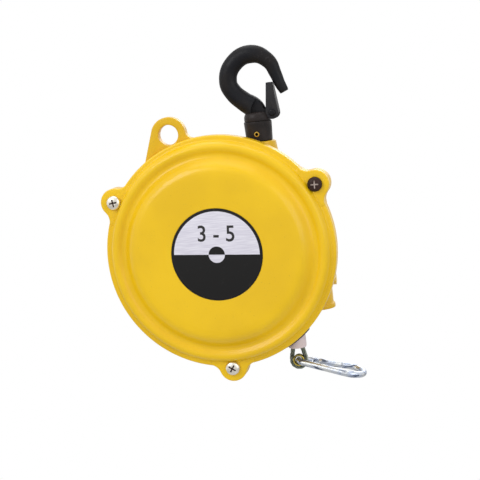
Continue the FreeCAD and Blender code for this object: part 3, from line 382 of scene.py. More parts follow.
def turnPiece(name, profile, centre=drumCentre, axis="Y", sides=128, hollow=False):
    # A ring is drawn out and scaled from point to point of a profile (radius, place along the axis).
    # A hollow piece ends where it began, and its last ring is bridged to its first
    direction, lie = axes[axis]
    radius, place = profile[0]
    bpy.ops.object.select_all(action="DESELECT")
    bpy.ops.mesh.primitive_circle_add(
        vertices=sides, radius=radius * mm, location=centre + direction * place * mm, rotation=lie
    )
    piece = bpy.context.object
    piece.name = name
    settle(piece)
    bpy.ops.object.mode_set(mode="EDIT")
    bpy.ops.mesh.select_mode(type="VERT")
    bpy.ops.mesh.select_all(action="SELECT")
    for nextRadius, nextPlace in profile[1:]:
        move = direction * (nextPlace - place) * mm
        bpy.ops.mesh.extrude_region_move(TRANSFORM_OT_translate={"value": move})
        ratio = nextRadius / radius
        widen = [1.0 if part else ratio for part in direction]
        bpy.ops.transform.resize(value=widen, center_override=centre)
        radius, place = nextRadius, nextPlace
    bpy.ops.mesh.select_all(action="DESELECT")
    bpy.ops.mesh.select_non_manifold(extend=False)
    if hollow:
        bpy.ops.mesh.bridge_edge_loops()
    else:
        bpy.ops.mesh.fill_holes(sides=0)
    turnOut()
    return piece


def turnOut():
    # Leaves edit mode with every face pointing outwards
    bpy.ops.mesh.select_all(action="SELECT")
    bpy.ops.mesh.normals_make_consistent(inside=False)
    bpy.ops.object.mode_set(mode="OBJECT")


def platePiece(name, outline, front, back):
    # A flat plate cut to an outline (x, z) and drawn from its front to its back
    bpy.ops.object.select_all(action="DESELECT")
    bpy.ops.mesh.primitive_circle_add(vertices=len(outline), radius=mm, fill_type="NGON")
    piece = bpy.context.object
    piece.name = name
    for vertex, (x, z) in zip(piece.data.vertices, outline):
        vertex.co = spot(x, front, z)
    bpy.ops.object.mode_set(mode="EDIT")
    bpy.ops.mesh.select_all(action="SELECT")
    bpy.ops.mesh.extrude_region_move(TRANSFORM_OT_translate={"value": (0, (back - front) * mm, 0)})
    turnOut()
    return piece


def rodPiece(name, line, profile=None, lay=0.0):
    # A bent rod along points (x, y, z, radius); a profile and a lay make it a rope
    bpy.ops.object.select_all(action="DESELECT")
    bpy.ops.curve.primitive_bezier_curve_add(location=(0, 0, 0))
    piece = bpy.context.object
    piece.name = name
    data = piece.data
    spline = data.splines[0]
    spline.bezier_points.add(len(line) - len(spline.bezier_points))
    travelled = 0.0
    for i, (x, y, z, radius) in enumerate(line):
        point = spline.bezier_points[i]
        point.co = spot(x, y, z)
        point.handle_left_type = "AUTO"
        point.handle_right_type = "AUTO"
        if i:
            travelled += (Vector(line[i][:3]) - Vector(line[i - 1][:3])).length
        point.radius = 1.0 if profile else radius
        point.tilt = 2 * math.pi * travelled / lay if lay else 0.0
    data.resolution_u = rodDetail["alongRope"] if profile else rodDetail["alongRod"]
    data.use_fill_caps = True
    if profile:
        data.bevel_mode = "OBJECT"
        data.bevel_object = profile
    else:
        data.bevel_depth = mm
        data.bevel_resolution = rodDetail["around"]
    pickOnly(piece)
    bpy.ops.object.convert(target="MESH")
    piece = bpy.context.object
    bpy.ops.object.mode_set(mode="EDIT")
    bpy.ops.mesh.select_all(action="SELECT")
    bpy.ops.mesh.remove_doubles(threshold=rodDetail["merge"] * mm)
    turnOut()
    return piece


def barShape(radius, start, axis, length, sides=48):
    # A plain bar, used to cut with or to start from
    direction, lie = axes[axis]
    bpy.ops.object.select_all(action="DESELECT")
    bpy.ops.mesh.primitive_cylinder_add(
        vertices=sides,
        radius=radius * mm,
        depth=length * mm,
        location=(Vector(start) + direction * length / 2) * mm,
        rotation=lie,
    )
    piece = bpy.context.object
    settle(piece)
    return piece


def throughBar(radius, middle, axis, half, sides=48):
    # A bar that reaches equally far to both sides of its middle
    return barShape(radius, Vector(middle) - axes[axis][0] * half, axis, 2 * half, sides)


def boxShape(size, middle, turn=(0, 0, 0)):
    bpy.ops.object.select_all(action="DESELECT")
    bpy.ops.mesh.primitive_cube_add(size=1.0, location=spot(*middle), rotation=turn)
    piece = bpy.context.object
    piece.scale = spot(*size)
    settle(piece)
    return piece


def combine(piece, other, how):
    # The other shape is used up
    change = piece.modifiers.new(how, "BOOLEAN")
    change.operation = how
    change.solver = "EXACT"
    change.object = other
    pickOnly(piece)
    bpy.ops.object.modifier_apply(modifier=change.name)
    bpy.data.objects.remove(other)


def softenEdges(piece, width, angle=40.0, segments=3):
    # Rounds every edge that turns by more than the angle
    change = piece.modifiers.new("edges", "BEVEL")
    change.width = width * mm
    change.segments = segments
    change.limit_method = "ANGLE"
    change.angle_limit = math.radians(angle)
    pickOnly(piece)
    bpy.ops.object.modifier_apply(modifier=change.name)


def joined(name, pieces):
    pickOnly(*pieces)
    bpy.ops.object.join()
    piece = bpy.context.object
    piece.name = name
    return piece


def dress(piece, body, nodes, slot, material=None):
    # Gives a finished shape its material, its body and the nodes that it stands for
    settle(piece)
    bpy.ops.object.shade_smooth_by_angle(angle=smoothAngle)
    piece.data.materials.clear()
    piece.data.materials.append(material or finishes[slot])
    if body:
        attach(piece, body)
    if nodes:
        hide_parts(*nodes)
    return piece


# Nodes that keep their own shape only get a finish
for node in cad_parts.values():
    for i, place in enumerate(node.material_slots):
        if place.material and place.material.name in finishes:
            node.data.materials[i] = finishes[place.material.name]


# The three screw lugs, with a hollow round where each runs into the rim
lug = {
    "pitch": 75.9,
    "radius": 9.0,
    "fillet": 8.0,
    "foot": 66.5,
    "sink": 0.3,
    "hole": 2.7,
    "edge": 1.1,
    "steps": 10,
}


def around(radius, angle):
    return radius * math.cos(angle), radius * math.sin(angle)


def arc(middle, radius, start, end, steps):
    # Points along a round, with both its ends
    points = []
    for i in range(steps + 1):
        x, z = around(radius, start + (end - start) * i / steps)
        points.append((middle[0] + x, middle[1] + z))
    return points


def shortArc(middle, radius, start, end, steps):
    # The shorter way round, with both its ends
    return arc(middle, radius, start, start + math.remainder(end - start, 2 * math.pi), steps)


def outerArc(middle, radius, start, end, steps):
    # Anticlockwise, without its ends
    return arc(middle, radius, start, start + (end - start) % (2 * math.pi), steps)[1:-1]


def hollowRound(centre, radius, rim, fillet, side):
    # The round that touches the rim circle and an outer circle: the way to its middle, the middle itself,
    # and the ways from there to both touches
    pitch = math.hypot(*centre)
    cosine = (pitch**2 + (rim + fillet) ** 2 - (radius + fillet) ** 2) / (2 * pitch * (rim + fillet))
    angle = math.atan2(centre[1], centre[0]) + side * math.acos(cosine)
    middle = around(rim + fillet, angle)
    toOuter = math.atan2(centre[1] - middle[1], centre[0] - middle[0])
    toRim = math.atan2(-middle[1], -middle[0])
    return angle, middle, toOuter, toRim


def fromDrum(line):
    # Points (x, z) seen from the drum's middle, as places in the frame
    return [(x + layout["drumX"], z + layout["drumZ"]) for x, z in line]


def lugPlate(name, front, back, holeEnd):
    lean = math.radians(lugAngles[name])
    centre = around(lug["pitch"], lean)
    rim = layout["rimRadius"] - lug["sink"]
    first = hollowRound(centre, lug["radius"], rim, lug["fillet"], -1)
    second = hollowRound(centre, lug["radius"], rim, lug["fillet"], 1)
    line = shortArc(first[1], lug["fillet"], first[3], first[2], lug["steps"])
    line += outerArc(centre, lug["radius"], first[2] + math.pi, second[2] + math.pi, 3 * lug["steps"])
    line += shortArc(second[1], lug["fillet"], second[2], second[3], lug["steps"])
    line += [around(lug["foot"], angle) for angle in (second[0], lean, first[0])]
    plate = platePiece(name + "Lug", fromDrum(line), front, back)
    x, z = fromDrum([centre])[0]
    combine(plate, barShape(lug["hole"], (x, front - 1, z), "Y", holeEnd - front + 1, 32), "DIFFERENCE")
    softenEdges(plate, lug["edge"])
    return plate


# Front cover: a turned dish with a rounded shoulder, a valley and a bead, and its three lugs
cover = {
    "lug": {"front": -21.25, "back": -16.05, "holeEnd": -15.0},
    "inside": [
        (0.05, -27.95), (7.5, -27.95), (7.5, -23.2), (10.5, -23.2), (10.5, -28.0),
        (50.0, -28.0), (58.5, -21.2), (65.5, -21.2), (65.5, -16.05),
    ],
    "outside": [
        (75.0, -16.05, 0.4), (75.0, -20.9, 1.3), (71.9, -20.9, 0.9), (71.0, -23.1, 1.2),
        (69.7, -25.3, 1.3), (67.5, -26.1, 1.3), (65.4, -25.3, 1.2), (63.7, -24.1, 1.2),
        (61.6, -24.2, 1.0), (59.9, -25.6, 1.4), (57.3, -28.6, 2.0), (54.4, -30.5, 1.8),
        (50.5, -30.95, 2.0), (29.65, -31.0, 0.25), (29.6, -30.65, 0.1), (0.05, -30.65),
    ],
}


def makeCover():
    shell = turnPiece("coverShell", softened(cover["inside"] + cover["outside"]), sides=192)
    plates = [lugPlate(name, **cover["lug"]) for name in lugAngles]
    dress(joined("frontCover", [shell] + plates), "housing", ["front_cover"], "case_paint")


makeCover()
print("front cover made")


# Rear case: the barrel with its raised back, the ear, the hook boss, the outlet and the worm tunnel
case = {
    "lug": {"front": -15.95, "back": -8.0, "holeEnd": -9.0},
    "inside": [
        (0.05, 35.0), (7.5, 35.0), (7.5, 30.0), (51.0, 30.0), (51.0, 21.0), (61.0, 21.0), (65.5, -15.95),
    ],
    "outside": [
        (75.0, -15.95, 0.4), (75.0, -11.0, 1.3), (69.9, -11.0, 1.4), (68.8, -6.0, 1.5), (64.6, 21.5, 3.0),
        (62.6, 27.3, 2.4), (57.6, 30.2, 1.6), (54.8, 31.0, 0.9), (53.6, 33.4, 1.0), (14.6, 33.5, 0.9),
        (13.2, 36.6, 0.8), (11.8, 37.0, 0.6), (0.05, 37.0),
    ],
    "cavity": [
        (0.05, -16.5), (65.5, -16.5), (65.5, -15.9), (61.0, 21.0), (51.0, 21.0), (51.0, 30.0), (0.05, 30.0),
    ],
    "boss": [(5.1, 50.0), (12.4, 50.0), (10.4, 67.0, 0.7), (8.6, 67.0), (5.1, 67.0)],
    "outlet": [(9.1, -76.0), (12.0, -76.0), (12.0, -44.0), (9.1, -44.0)],
    "outletReach": 74.0,
    "outletHalf": 14.0,
    "tunnel": [
        (7.1, -50.0), (10.6, -50.0, 0.5), (10.6, -47.2, 0.7), (9.6, -46.4, 0.5), (9.6, 17.2, 1.6),
        (7.4, 21.0, 1.0), (3.4, 21.0), (3.4, 14.2), (7.1, 14.2),
    ],
    # Radius, place across, lowest point and length of the upright holes, seen from the drum's height
    "holes": [
        (5.1, (0.0, 0.0), 50.0, 20.0),
        (9.1, (layout["wireX"], 0.0), -76.0, 30.0),
        (7.1, (layout["wormX"], layout["wormY"]), -51.0, 65.0),
    ],
}
ear = {
    "centre": (-26.2, 77.6),
    "radius": 11.4,
    "feet": [(-44.6, 58.2), (-38.0, 52.0), (-10.0, 64.0)],
    "fillet": 5.0,
    "hole": 6.5,
    "holeLength": 9.0,
    "front": -15.95,
    "back": -9.0,
    "edge": 0.9,
    "steps": 10,
}
lockBoss = {"radius": 4.5, "hole": 2.55, "inset": 7.2, "height": -31.0, "reach": 63.4, "edge": 0.5}


def earPlate():
    centre = ear["centre"]
    radius = ear["radius"]
    hollow = hollowRound(centre, radius, layout["rimRadius"] - lug["sink"], ear["fillet"], -1)
    reach = Vector(ear["feet"][0]) - Vector(centre)
    touch = math.atan2(reach.y, reach.x) - math.acos(radius / reach.length)
    line = shortArc(hollow[1], ear["fillet"], hollow[3], hollow[2], ear["steps"])
    line += outerArc(centre, radius, hollow[2] + math.pi, touch, 3 * ear["steps"] + 2)
    line += ear["feet"]
    plate = platePiece("earPlate", fromDrum(line), ear["front"], ear["back"])
    x, z = fromDrum([centre])[0]
    start = (x, ear["front"] - 1, z)
    combine(plate, barShape(ear["hole"], start, "Y", ear["holeLength"], 64), "DIFFERENCE")
    softenEdges(plate, ear["edge"])
    return plate


def lockScrewBoss():
    # The short sleeve beside the worm tunnel, with the lock screw's hole through it
    x = layout["wormX"] + lockBoss["inset"]
    y = layout["wormY"]
    z = layout["drumZ"] + lockBoss["height"]
    length = layout["drumX"] + lockBoss["reach"] - x
    boss = barShape(lockBoss["radius"], (x, y, z), "X", length)
    combine(boss, barShape(lockBoss["hole"], (x - 1, y, z), "X", length + 2), "DIFFERENCE")
    softenEdges(boss, lockBoss["edge"])
    return boss


def makeCase():
    top = layout["drumZ"]
    shell = turnPiece("caseShell", softened(case["inside"] + case["outside"]), sides=192)
    boss = turnPiece("boss", softened(case["boss"]), spot(0, 0, top), "Z", 64, True)
    outlet = turnPiece("outlet", case["outlet"], spot(layout["wireX"], 0, top), "Z", 64, True)
    reach = case["outletReach"]
    half = case["outletHalf"]
    combine(outlet, turnPiece("reach", [(reach, -half), (reach, half)], sides=192), "INTERSECT")
    wormAxis = spot(layout["wormX"], layout["wormY"], top)
    tunnel = turnPiece("tunnel", softened(case["tunnel"]), wormAxis, "Z", 64, True)
    for part in (boss, outlet, tunnel):
        combine(part, turnPiece("cavity", case["cavity"], sides=96), "DIFFERENCE")
    for radius, place, lowest, length in case["holes"]:
        combine(shell, barShape(radius, (*place, top + lowest), "Z", length), "DIFFERENCE")
    lock = lockScrewBoss()
    plates = [lugPlate(name, **case["lug"]) for name in lugAngles]
    pieces = [shell, boss, outlet, tunnel, lock, earPlate()] + plates
    # The rear case takes the deeper copy of the paint, a painted shade
    dress(joined("rearCase", pieces), "housing", ["rear_case"], "case_paint", special["shadedRearPaint"])


makeCase()
print("rear case made")


# Pan-head cover screws with a cross recess, each left at its own angle
screw = {
    "turns": {"left": 82.0, "right": 2.0, "bottom": 33.0},
    "head": [
        (2.5, -10.0), (2.5, -21.3), (4.7, -21.3, 0.15), (4.75, -22.6, 0.7), (4.1, -24.0, 0.8),
        (2.4, -24.7, 0.9), (0.05, -24.85),
    ],
    "top": -24.9,
    "crossReach": 2.6,
    "crossDepth": 1.7,
    "crossWidth": 1.0,
    "shadeDepth": 1.8,
    "shadeWidth": 1.05,
    "floorDepth": 1.0,
    "lid": (8.0, 4.0, 8.0),
    "headEdge": 0.12,
    "shadeEdge": 0.04,
}


def screwCross(name, x, z, depth, width):
    # Two crossed bars, sunk into the head from its top
    bars = []
    for turn in (0.0, 90.0):
        lean = math.radians(screw["turns"][name] + turn)
        size = (2 * screw["crossReach"], 2 * depth, width)
        bars.append(boxShape(size, (x, screw["top"], z), (0, lean, 0)))
    combine(bars[0], bars[1], "UNION")
    return bars[0]


def makeScrew(name):
    # The head with its recess, and a cross piece that fills the floor of the recess; it carries painted
    # shade in the left and bottom screws and a painted highlight in the right one
    x, z = fromDrum([around(lug["pitch"], math.radians(lugAngles[name]))])[0]
    head = turnPiece(name + "Screw", softened(screw["head"]), spot(x, 0, z), sides=64)
    combine(head, screwCross(name, x, z, screw["crossDepth"], screw["crossWidth"]), "DIFFERENCE")
    softenEdges(head, screw["headEdge"], angle=50.0, segments=2)
    shade = screwCross(name, x, z, screw["shadeDepth"], screw["shadeWidth"])
    shade.name = name + "ScrewCross"
    lidY = screw["top"] + screw["floorDepth"] - screw["lid"][1] / 2
    combine(shade, boxShape(screw["lid"], (x, lidY, z)), "DIFFERENCE")
    softenEdges(shade, screw["shadeEdge"], angle=50.0, segments=1)
    return head, shade


# The left and bottom screws get a dark cross on each recess floor: painted shade
heads, shades = zip(makeScrew("left"), makeScrew("bottom"))
dress(joined("zincScrews", heads), "housing", ["cover_screws"], "zinc_steel", special["screwZinc"])
dress(joined("screwRecessShades", shades), "housing", [], "zinc_steel", special["shadeAndDarkReflection"])
# The right screw's head is painted dark as a painted reflection, and its pale cross is a painted highlight
darkReflectionHead, highlightCross = makeScrew("right")
dress(darkReflectionHead, "housing", ["cover_screw_dark"], "black_steel", special["shadeAndDarkReflection"])
dress(highlightCross, "housing", [], "black_steel", special["paintedHighlightZinc"])
print("cover screws made")


# Printed label disc with plain numbers on it
labelShape = {
    "disc": [(0.05, -30.66), (29.5, -30.66, 0.1), (29.5, -31.12, 0.16), (0.05, -31.14)],
    "numbers": "3 - 5",
    "size": 14.5,
    "weight": 0.14,
    "lift": 8.6,
    "width": 0.92,
    "numbersY": -31.16,
    "relief": 0.03,
}


def makeLabel():
    disc = turnPiece("labelDisc", softened(labelShape["disc"]))
    dress(disc, "housing", ["label_plate"], "label_plate")
    bpy.ops.object.select_all(action="DESELECT")
    bpy.ops.object.text_add(rotation=(math.pi / 2, labelPlate["turn"], 0))
    numbers = bpy.context.object
    numbers.name = "labelNumbers"
    numbers.data.body = labelShape["numbers"]
    numbers.data.size = labelShape["size"] * mm
    numbers.data.offset = labelShape["weight"] * mm
    numbers.data.align_x = "CENTER"
    numbers.data.extrude = labelShape["relief"] * mm
    across = labelShape["lift"] * math.sin(labelPlate["turn"])
    rise = labelShape["lift"] * math.cos(labelPlate["turn"])
    numbers.location = spot(layout["drumX"] + across, labelShape["numbersY"], layout["drumZ"] + rise)
    numbers.scale = (labelShape["width"], 1.0, 1.0)
    pickOnly(numbers)
    bpy.ops.object.convert(target="MESH")
    dress(bpy.context.object, "housing", [], "label_plate", special["numeralInk"])


makeLabel()
print("label made")


# Forged hook: one bent rod that thickens at the neck and tapers to its tip
hook = {
    # Across, up and radius along the rod, from the neck round to the tip
    "line": [
        (0.0, -36.8, 6.0), (0.0, -33.5, 7.0), (-1.6, -28.6, 7.0), (-7.5, -23.6, 6.3), (-13.6, -17.4, 6.0),
        (-16.4, -9.8, 5.9), (-11.67, 1.03, 5.9), (0.5, 6.1, 5.9), (10.98, 0.69, 4.9), (15.03, -8.27, 4.0),
        (17.0, -14.3, 3.6), (18.9, -18.6, 3.2), (19.5, -20.0, 2.8),
    ],
    "flatten": 0.84,
    "shank": [
        (5.0, -48.3), (5.0, -37.0), (8.5, -36.8, 0.2), (8.6, -34.0, 1.4), (7.4, -31.4, 1.4), (4.0, -31.0),
    ],
    "lobeHalf": 2.9,
    "latchClear": 13.5,
    "clearDepth": 8.0,
    "rivetHole": 1.6,
    "edge": 0.4,
}


def makeHook():
    body = rodPiece("hookRod", [(x, 0.0, z, radius) for x, z, radius in hook["line"]])
    bpy.ops.object.mode_set(mode="EDIT")
    bpy.ops.mesh.select_all(action="SELECT")
    bpy.ops.transform.resize(value=(1, hook["flatten"], 1), center_override=(0, 0, 0))
    bpy.ops.object.mode_set(mode="OBJECT")
    x = layout["latchX"]
    z = layout["latchZ"]
    half = hook["lobeHalf"]
    depth = hook["clearDepth"]
    for start in (half, -half - depth):
        combine(body, barShape(hook["latchClear"], (x, start, z), "Y", depth), "DIFFERENCE")
    softenEdges(body, hook["edge"])
    lobe = throughBar(half, (x, 0, z), "Y", half)
    combine(lobe, boxShape((x, 2 * half - 0.02, 2 * half), (x / 2, 0, z)), "UNION")
    combine(lobe, throughBar(hook["rivetHole"], (x, 0, z), "Y", 9), "DIFFERENCE")
    shank = turnPiece("hookShank", softened(hook["shank"]), spot(0, 0, 0), "Z", 48)
    dress(joined("forgedHook", [body, lobe]), "suspension", ["top_hook"], "black_steel")
    dress(shank, "suspension", [], "black_steel", special["socketSteel"])


makeHook()


# The socket under the hook with its stem, and the hollow pin through it
swivel = {
    "socket": [
        (0.05, -70.7), (4.95, -70.7, 0.5), (4.95, -49.9), (8.4, -49.9, 0.6), (8.5, -48.6, 0.8),
        (9.0, -38.0, 0.8), (8.9, -37.0, 0.7), (5.15, -36.9, 0.3), (5.15, -48.5), (0.05, -48.5),
    ],
    "pin": [(1.05, -8.9), (1.7, -8.9, 0.25), (1.7, 8.9, 0.25), (1.05, 8.9)],
    "pinHole": 1.78,
    "pinZ": -45.1,
}


def makeSwivel():
    socket = turnPiece("hookSocket", softened(swivel["socket"]), spot(0, 0, 0), "Z", 96)
    combine(socket, throughBar(swivel["pinHole"], (0, 0, swivel["pinZ"]), "Y", 12, 32), "DIFFERENCE")
    dress(socket, "suspension", ["swivel_stud"], "black_steel", special["socketSteel"])
    rollPin = turnPiece("rollPin", softened(swivel["pin"]), spot(0, 0, swivel["pinZ"]), "Y", 32, True)
    dress(rollPin, "suspension", ["hook_pin"], "brass_pin")


makeSwivel()
print("hook and swivel made")


# Safety latch: a folded sheet with two cheeks and a web, riveted to the hook
latch = {
    "tip": (10.5, -13.2),
    "rootRadius": 4.1,
    "tipRadius": 1.9,
    "half": 4.2,
    "sheet": 1.0,
    "bend": 2.0,
    "hollows": 3,
    "footCut": (8.2, 4.1),
    "footDrop": 2.55,
    "rivetHole": 1.6,
    "edge": 0.28,
    "rivet": [
        (0.05, -5.2), (1.5, -5.2, 0.4), (2.2, -4.75, 0.3), (2.2, -4.35, 0.1), (1.5, -4.35), (1.5, 4.35),
        (2.2, 4.35, 0.1), (2.2, 4.75, 0.3), (1.5, 5.2, 0.4), (0.05, 5.2),
    ],
}


def latchOutline(thin, shift):
    # A round foot, straight sides and a blunt top, with the sheet's thickness taken off
    rootRadius = latch["rootRadius"] - thin
    tipRadius = latch["tipRadius"] - thin
    root = Vector((layout["latchX"], layout["latchZ"]))
    axis = Vector(latch["tip"]) - root
    axis *= 1 - thin / axis.length
    aside = Vector((shift, 0))
    lean = math.atan2(axis.y, axis.x)
    touch = math.acos((rootRadius - tipRadius) / axis.length)
    top = arc(root + axis + aside, tipRadius, lean - touch, lean + touch, 1)
    return top + arc(root + aside, rootRadius, lean + touch, lean + 2 * math.pi - touch, 24)


def makeLatch():
    half = latch["half"]
    inner = half - latch["sheet"]
    x = layout["latchX"]
    z = layout["latchZ"]
    body = platePiece("safetyLatch", latchOutline(0.0, 0.0), -half, half)
    for i in range(latch["hollows"]):
        hollow = platePiece("hollow", latchOutline(latch["sheet"], -i * latch["bend"]), -inner, inner)
        combine(body, hollow, "DIFFERENCE")
    across, tall = latch["footCut"]
    combine(body, boxShape((across, 2 * inner, tall), (x, 0, z - latch["footDrop"])), "DIFFERENCE")
    combine(body, throughBar(latch["rivetHole"], (x, 0, z), "Y", 8, 32), "DIFFERENCE")
    softenEdges(body, latch["edge"], angle=45.0)
    dress(body, "latch", ["hook_latch"], "black_steel", special["latchSteel"])
    rivet = turnPiece("latchRivet", softened(latch["rivet"]), spot(x, 0, z), "Y", 40)
    dress(rivet, "suspension", ["latch_pin"], "black_steel")


makeLatch()
print("latch made")


# Wire rope: strands laid round the rope's line, in the eye, up to the drum and round it
rope = {
    "strands": 6,
    "strand": 0.5,
    "reach": 1.0,
    "lay": 15.0,
    "sides": 48,
    "leadTop": -117.0,
    "leadEnd": -176.0,
    "leadSteps": 6,
    "eye": [
        (-3.0, 8.6), (-3.8, 5.2), (-4.5, 1.6), (-4.25, -1.76), (-2.4, -3.92), (0.0, -4.6), (2.4, -3.92),
        (4.25, -1.76), (4.5, 1.6), (3.8, 5.2), (3.0, 8.6),
    ],
}
winding = {"turns": 5, "pitch": 3.2, "small": 40.0, "large": 50.0, "points": 16}


def strandProfile():
    # The outline of the rope's section
    share = 2 * math.pi / rope["strands"]
    bpy.ops.object.select_all(action="DESELECT")
    bpy.ops.curve.primitive_nurbs_circle_add(location=(0, 0, 0))
    profile = bpy.context.object
    profile.data.dimensions = "2D"
    profile.data.splines.clear()
    spline = profile.data.splines.new("POLY")
    spline.points.add(rope["sides"] - 1)
    spline.use_cyclic_u = True
    for i, point in enumerate(spline.points):
        angle = 2 * math.pi * i / rope["sides"]
        lean = angle % share - share / 2
        reach = rope["reach"] * math.cos(lean)
        reach += math.sqrt(max(0.0, rope["strand"] ** 2 - (rope["reach"] * math.sin(lean)) ** 2))
        point.co = (reach * math.cos(angle) * mm, reach * math.sin(angle) * mm, 0, 1)
    return profile


def windingPath():
    # Turns side by side on the drum's cone, each wider than the last
    path = []
    for i in range(winding["turns"] * winding["points"] + 1):
        turn = i / winding["points"]
        reach = winding["small"] + (winding["large"] - winding["small"]) * turn / winding["turns"]
        x, z = fromDrum([around(reach, 2 * math.pi * turn)])[0]
        path.append((x, winding["pitch"] * turn, z, 1.0))
    return path


def makeRope():
    profile = strandProfile()
    wireX = layout["wireX"]
    eyePath = [(x + wireX, 0.0, z + layout["eyeZ"], 1.0) for x, z in rope["eye"]]
    eye = rodPiece("eyeRope", eyePath, profile, rope["lay"])
    dress(eye, "wire_end", ["rope_eye"], "wire_rope")
    step = (rope["leadEnd"] - rope["leadTop"]) / rope["leadSteps"]
    leadPath = [(wireX, 0.0, rope["leadTop"] + step * i, 1.0) for i in range(rope["leadSteps"] + 1)]
    leadRope = rodPiece("leadRope", leadPath, profile, rope["lay"])
    dress(leadRope, None, ["lead_rope"], "wire_rope")
    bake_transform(leadRope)
    turns = rodPiece("woundTurns", windingPath(), profile, rope["lay"])
    dress(turns, "drum", ["wound_rope"], "wire_rope")
    bpy.data.objects.remove(profile)


makeRope()
print("wire rope made")


# Black guide block in the outlet, cut to the curve of the housing at both ends
guide = {
    "block": [
        (4.8, -48.0, 0.3), (2.4, -52.0, 0.5), (2.4, -57.4, 0.3), (6.6, -57.4), (6.6, -80.0), (9.0, -80.0),
        (9.0, -36.0), (4.8, -36.0),
    ],
    "ring": [(62.5, -10.0), (76.5, -10.0), (76.5, 10.0), (62.5, 10.0)],
    "edge": 0.3,
}


def makeGuide():
    wirePlace = spot(layout["wireX"], 0, layout["drumZ"])
    block = turnPiece("wireGuide", softened(guide["block"]), wirePlace, "Z", 64, True)
    combine(block, turnPiece("ring", guide["ring"], sides=192, hollow=True), "INTERSECT")
    softenEdges(block, guide["edge"], angle=50.0, segments=2)
    dress(block, "housing", ["wire_guide"], "black_plastic")


makeGuide()
print("wire guide made")


# Rubber stopper over the crimp, and the thimble that lines the eye
wireEnd = {
    "stopper": [
        (1.6, -175.0), (5.6, -175.0, 0.6), (5.95, -176.6, 1.0), (6.0, -185.6, 1.0), (5.7, -187.0, 0.6),
        (3.65, -187.0), (3.65, -176.2), (1.6, -176.2),
    ],
    "thimble": [
        (2.9, 2.0), (3.6, 2.0, 0.2), (4.05, 1.3, 0.3), (3.3, 0.9, 0.5), (2.95, 0.0, 0.8), (3.3, -0.9, 0.5),
        (4.05, -1.3, 0.3), (3.6, -2.0, 0.2), (2.9, -2.0, 0.4), (2.42, -0.8, 0.6), (2.42, 0.8, 0.6),
    ],
}
eyeCentre = spot(layout["wireX"], 0, layout["eyeZ"])


def makeWireEnd():
    wireAxis = spot(layout["wireX"], 0, 0)
    stopper = turnPiece("rubberStopper", softened(wireEnd["stopper"]), wireAxis, "Z", 64, True)
    dress(stopper, "wire_end", ["rope_stopper"], "grey_rubber")
    thimble = turnPiece("eyeLining", softened(wireEnd["thimble"]), eyeCentre, "Y", 48, True)
    dress(thimble, "wire_end", ["eye_thimble"], "yellow_zinc")


makeWireEnd()
print("stopper and thimble made")


# Spring clip of round rod with a hinged gate, drawn flat and then turned down to its rest
clip = {
    "rod": 2.1,
    "length": 47.2,
    "width": 24.0,
    "narrow": 5.0,
    "droop": 15.7,
    "pin": 6.5,
    "hingeEnd": 3.0,
    "gateEnd": 23.5,
    "gateGap": 0.3,
    # The hinge: what is cut off the rod ahead of the pin, the slot in it and the gate's tongue
    "ahead": (6.0, 8.4, 12.0),
    "aheadFit": 0.05,
    "slot": (8.5, 8.4, 1.7),
    "slotMiddle": 1.65,
    "tongue": (4.0, 3.8),
    "tongueHalf": 0.75,
    "tongueFit": 0.15,
    "knuckle": 2.45,
    "pinHole": 0.65,
    "rodEdge": 0.2,
    "gateEdge": 0.15,
    "gate": [(0.05, 0.3), (2.05, 0.3), (2.05, 16.95, 0.5), (0.05, 17.0)],
    "rivet": [(0.05, -2.0), (0.6, -2.0, 0.2), (0.6, 2.0, 0.2), (0.05, 2.0)],
}
clipWide = clip["width"] / 2 - clip["rod"]
clipWideX = clip["length"] - 2 * clip["rod"] - clipWide
clipFlare = math.asin((clipWide - clip["narrow"]) / (clipWideX - clip["narrow"]))
clipSeat = Matrix.Translation(eyeCentre) @ Matrix.Rotation(math.radians(clip["droop"]), 4, "Y")


def clipSide(distance):
    # A point on the gate's side, at a distance from the round of the narrow end
    x = clip["narrow"] - clip["narrow"] * math.sin(clipFlare) + distance * math.cos(clipFlare)
    y = clip["narrow"] * math.cos(clipFlare) + distance * math.sin(clipFlare)
    return x, y


def clipLine():
    # From the hinge round the narrow end, along the back, round the wide end and on to the nose
    quarter = math.pi / 2 + clipFlare
    narrow = arc((clip["narrow"], 0.0), clip["narrow"], quarter, 2 * math.pi - quarter, 8)
    wide = arc((clipWideX, 0.0), clipWide, -quarter, quarter, 12)
    nose = clipSide(clip["gateEnd"] + clip["gateGap"])
    back = [tuple(Vector(narrow[-1]).lerp(Vector(wide[0]), share)) for share in (0.1, 0.5, 0.9)]
    middle = tuple(Vector(wide[-1]).lerp(Vector(nose), 0.5))
    hinge = [clipSide(clip["pin"] + clip["hingeEnd"]), clipSide(clip["pin"])]
    return hinge + narrow + back + wide + [middle, nose]


def barAtPin(radius, half, sides):
    # A bar along the hinge pin, which lies upright at the origin until the clip is seated
    return throughBar(radius, (0, 0, 0), "Z", half, sides)


def moved(piece, seat):
    # A shape drawn at the origin, brought to its seat
    piece.matrix_world = seat
    settle(piece)
    return piece


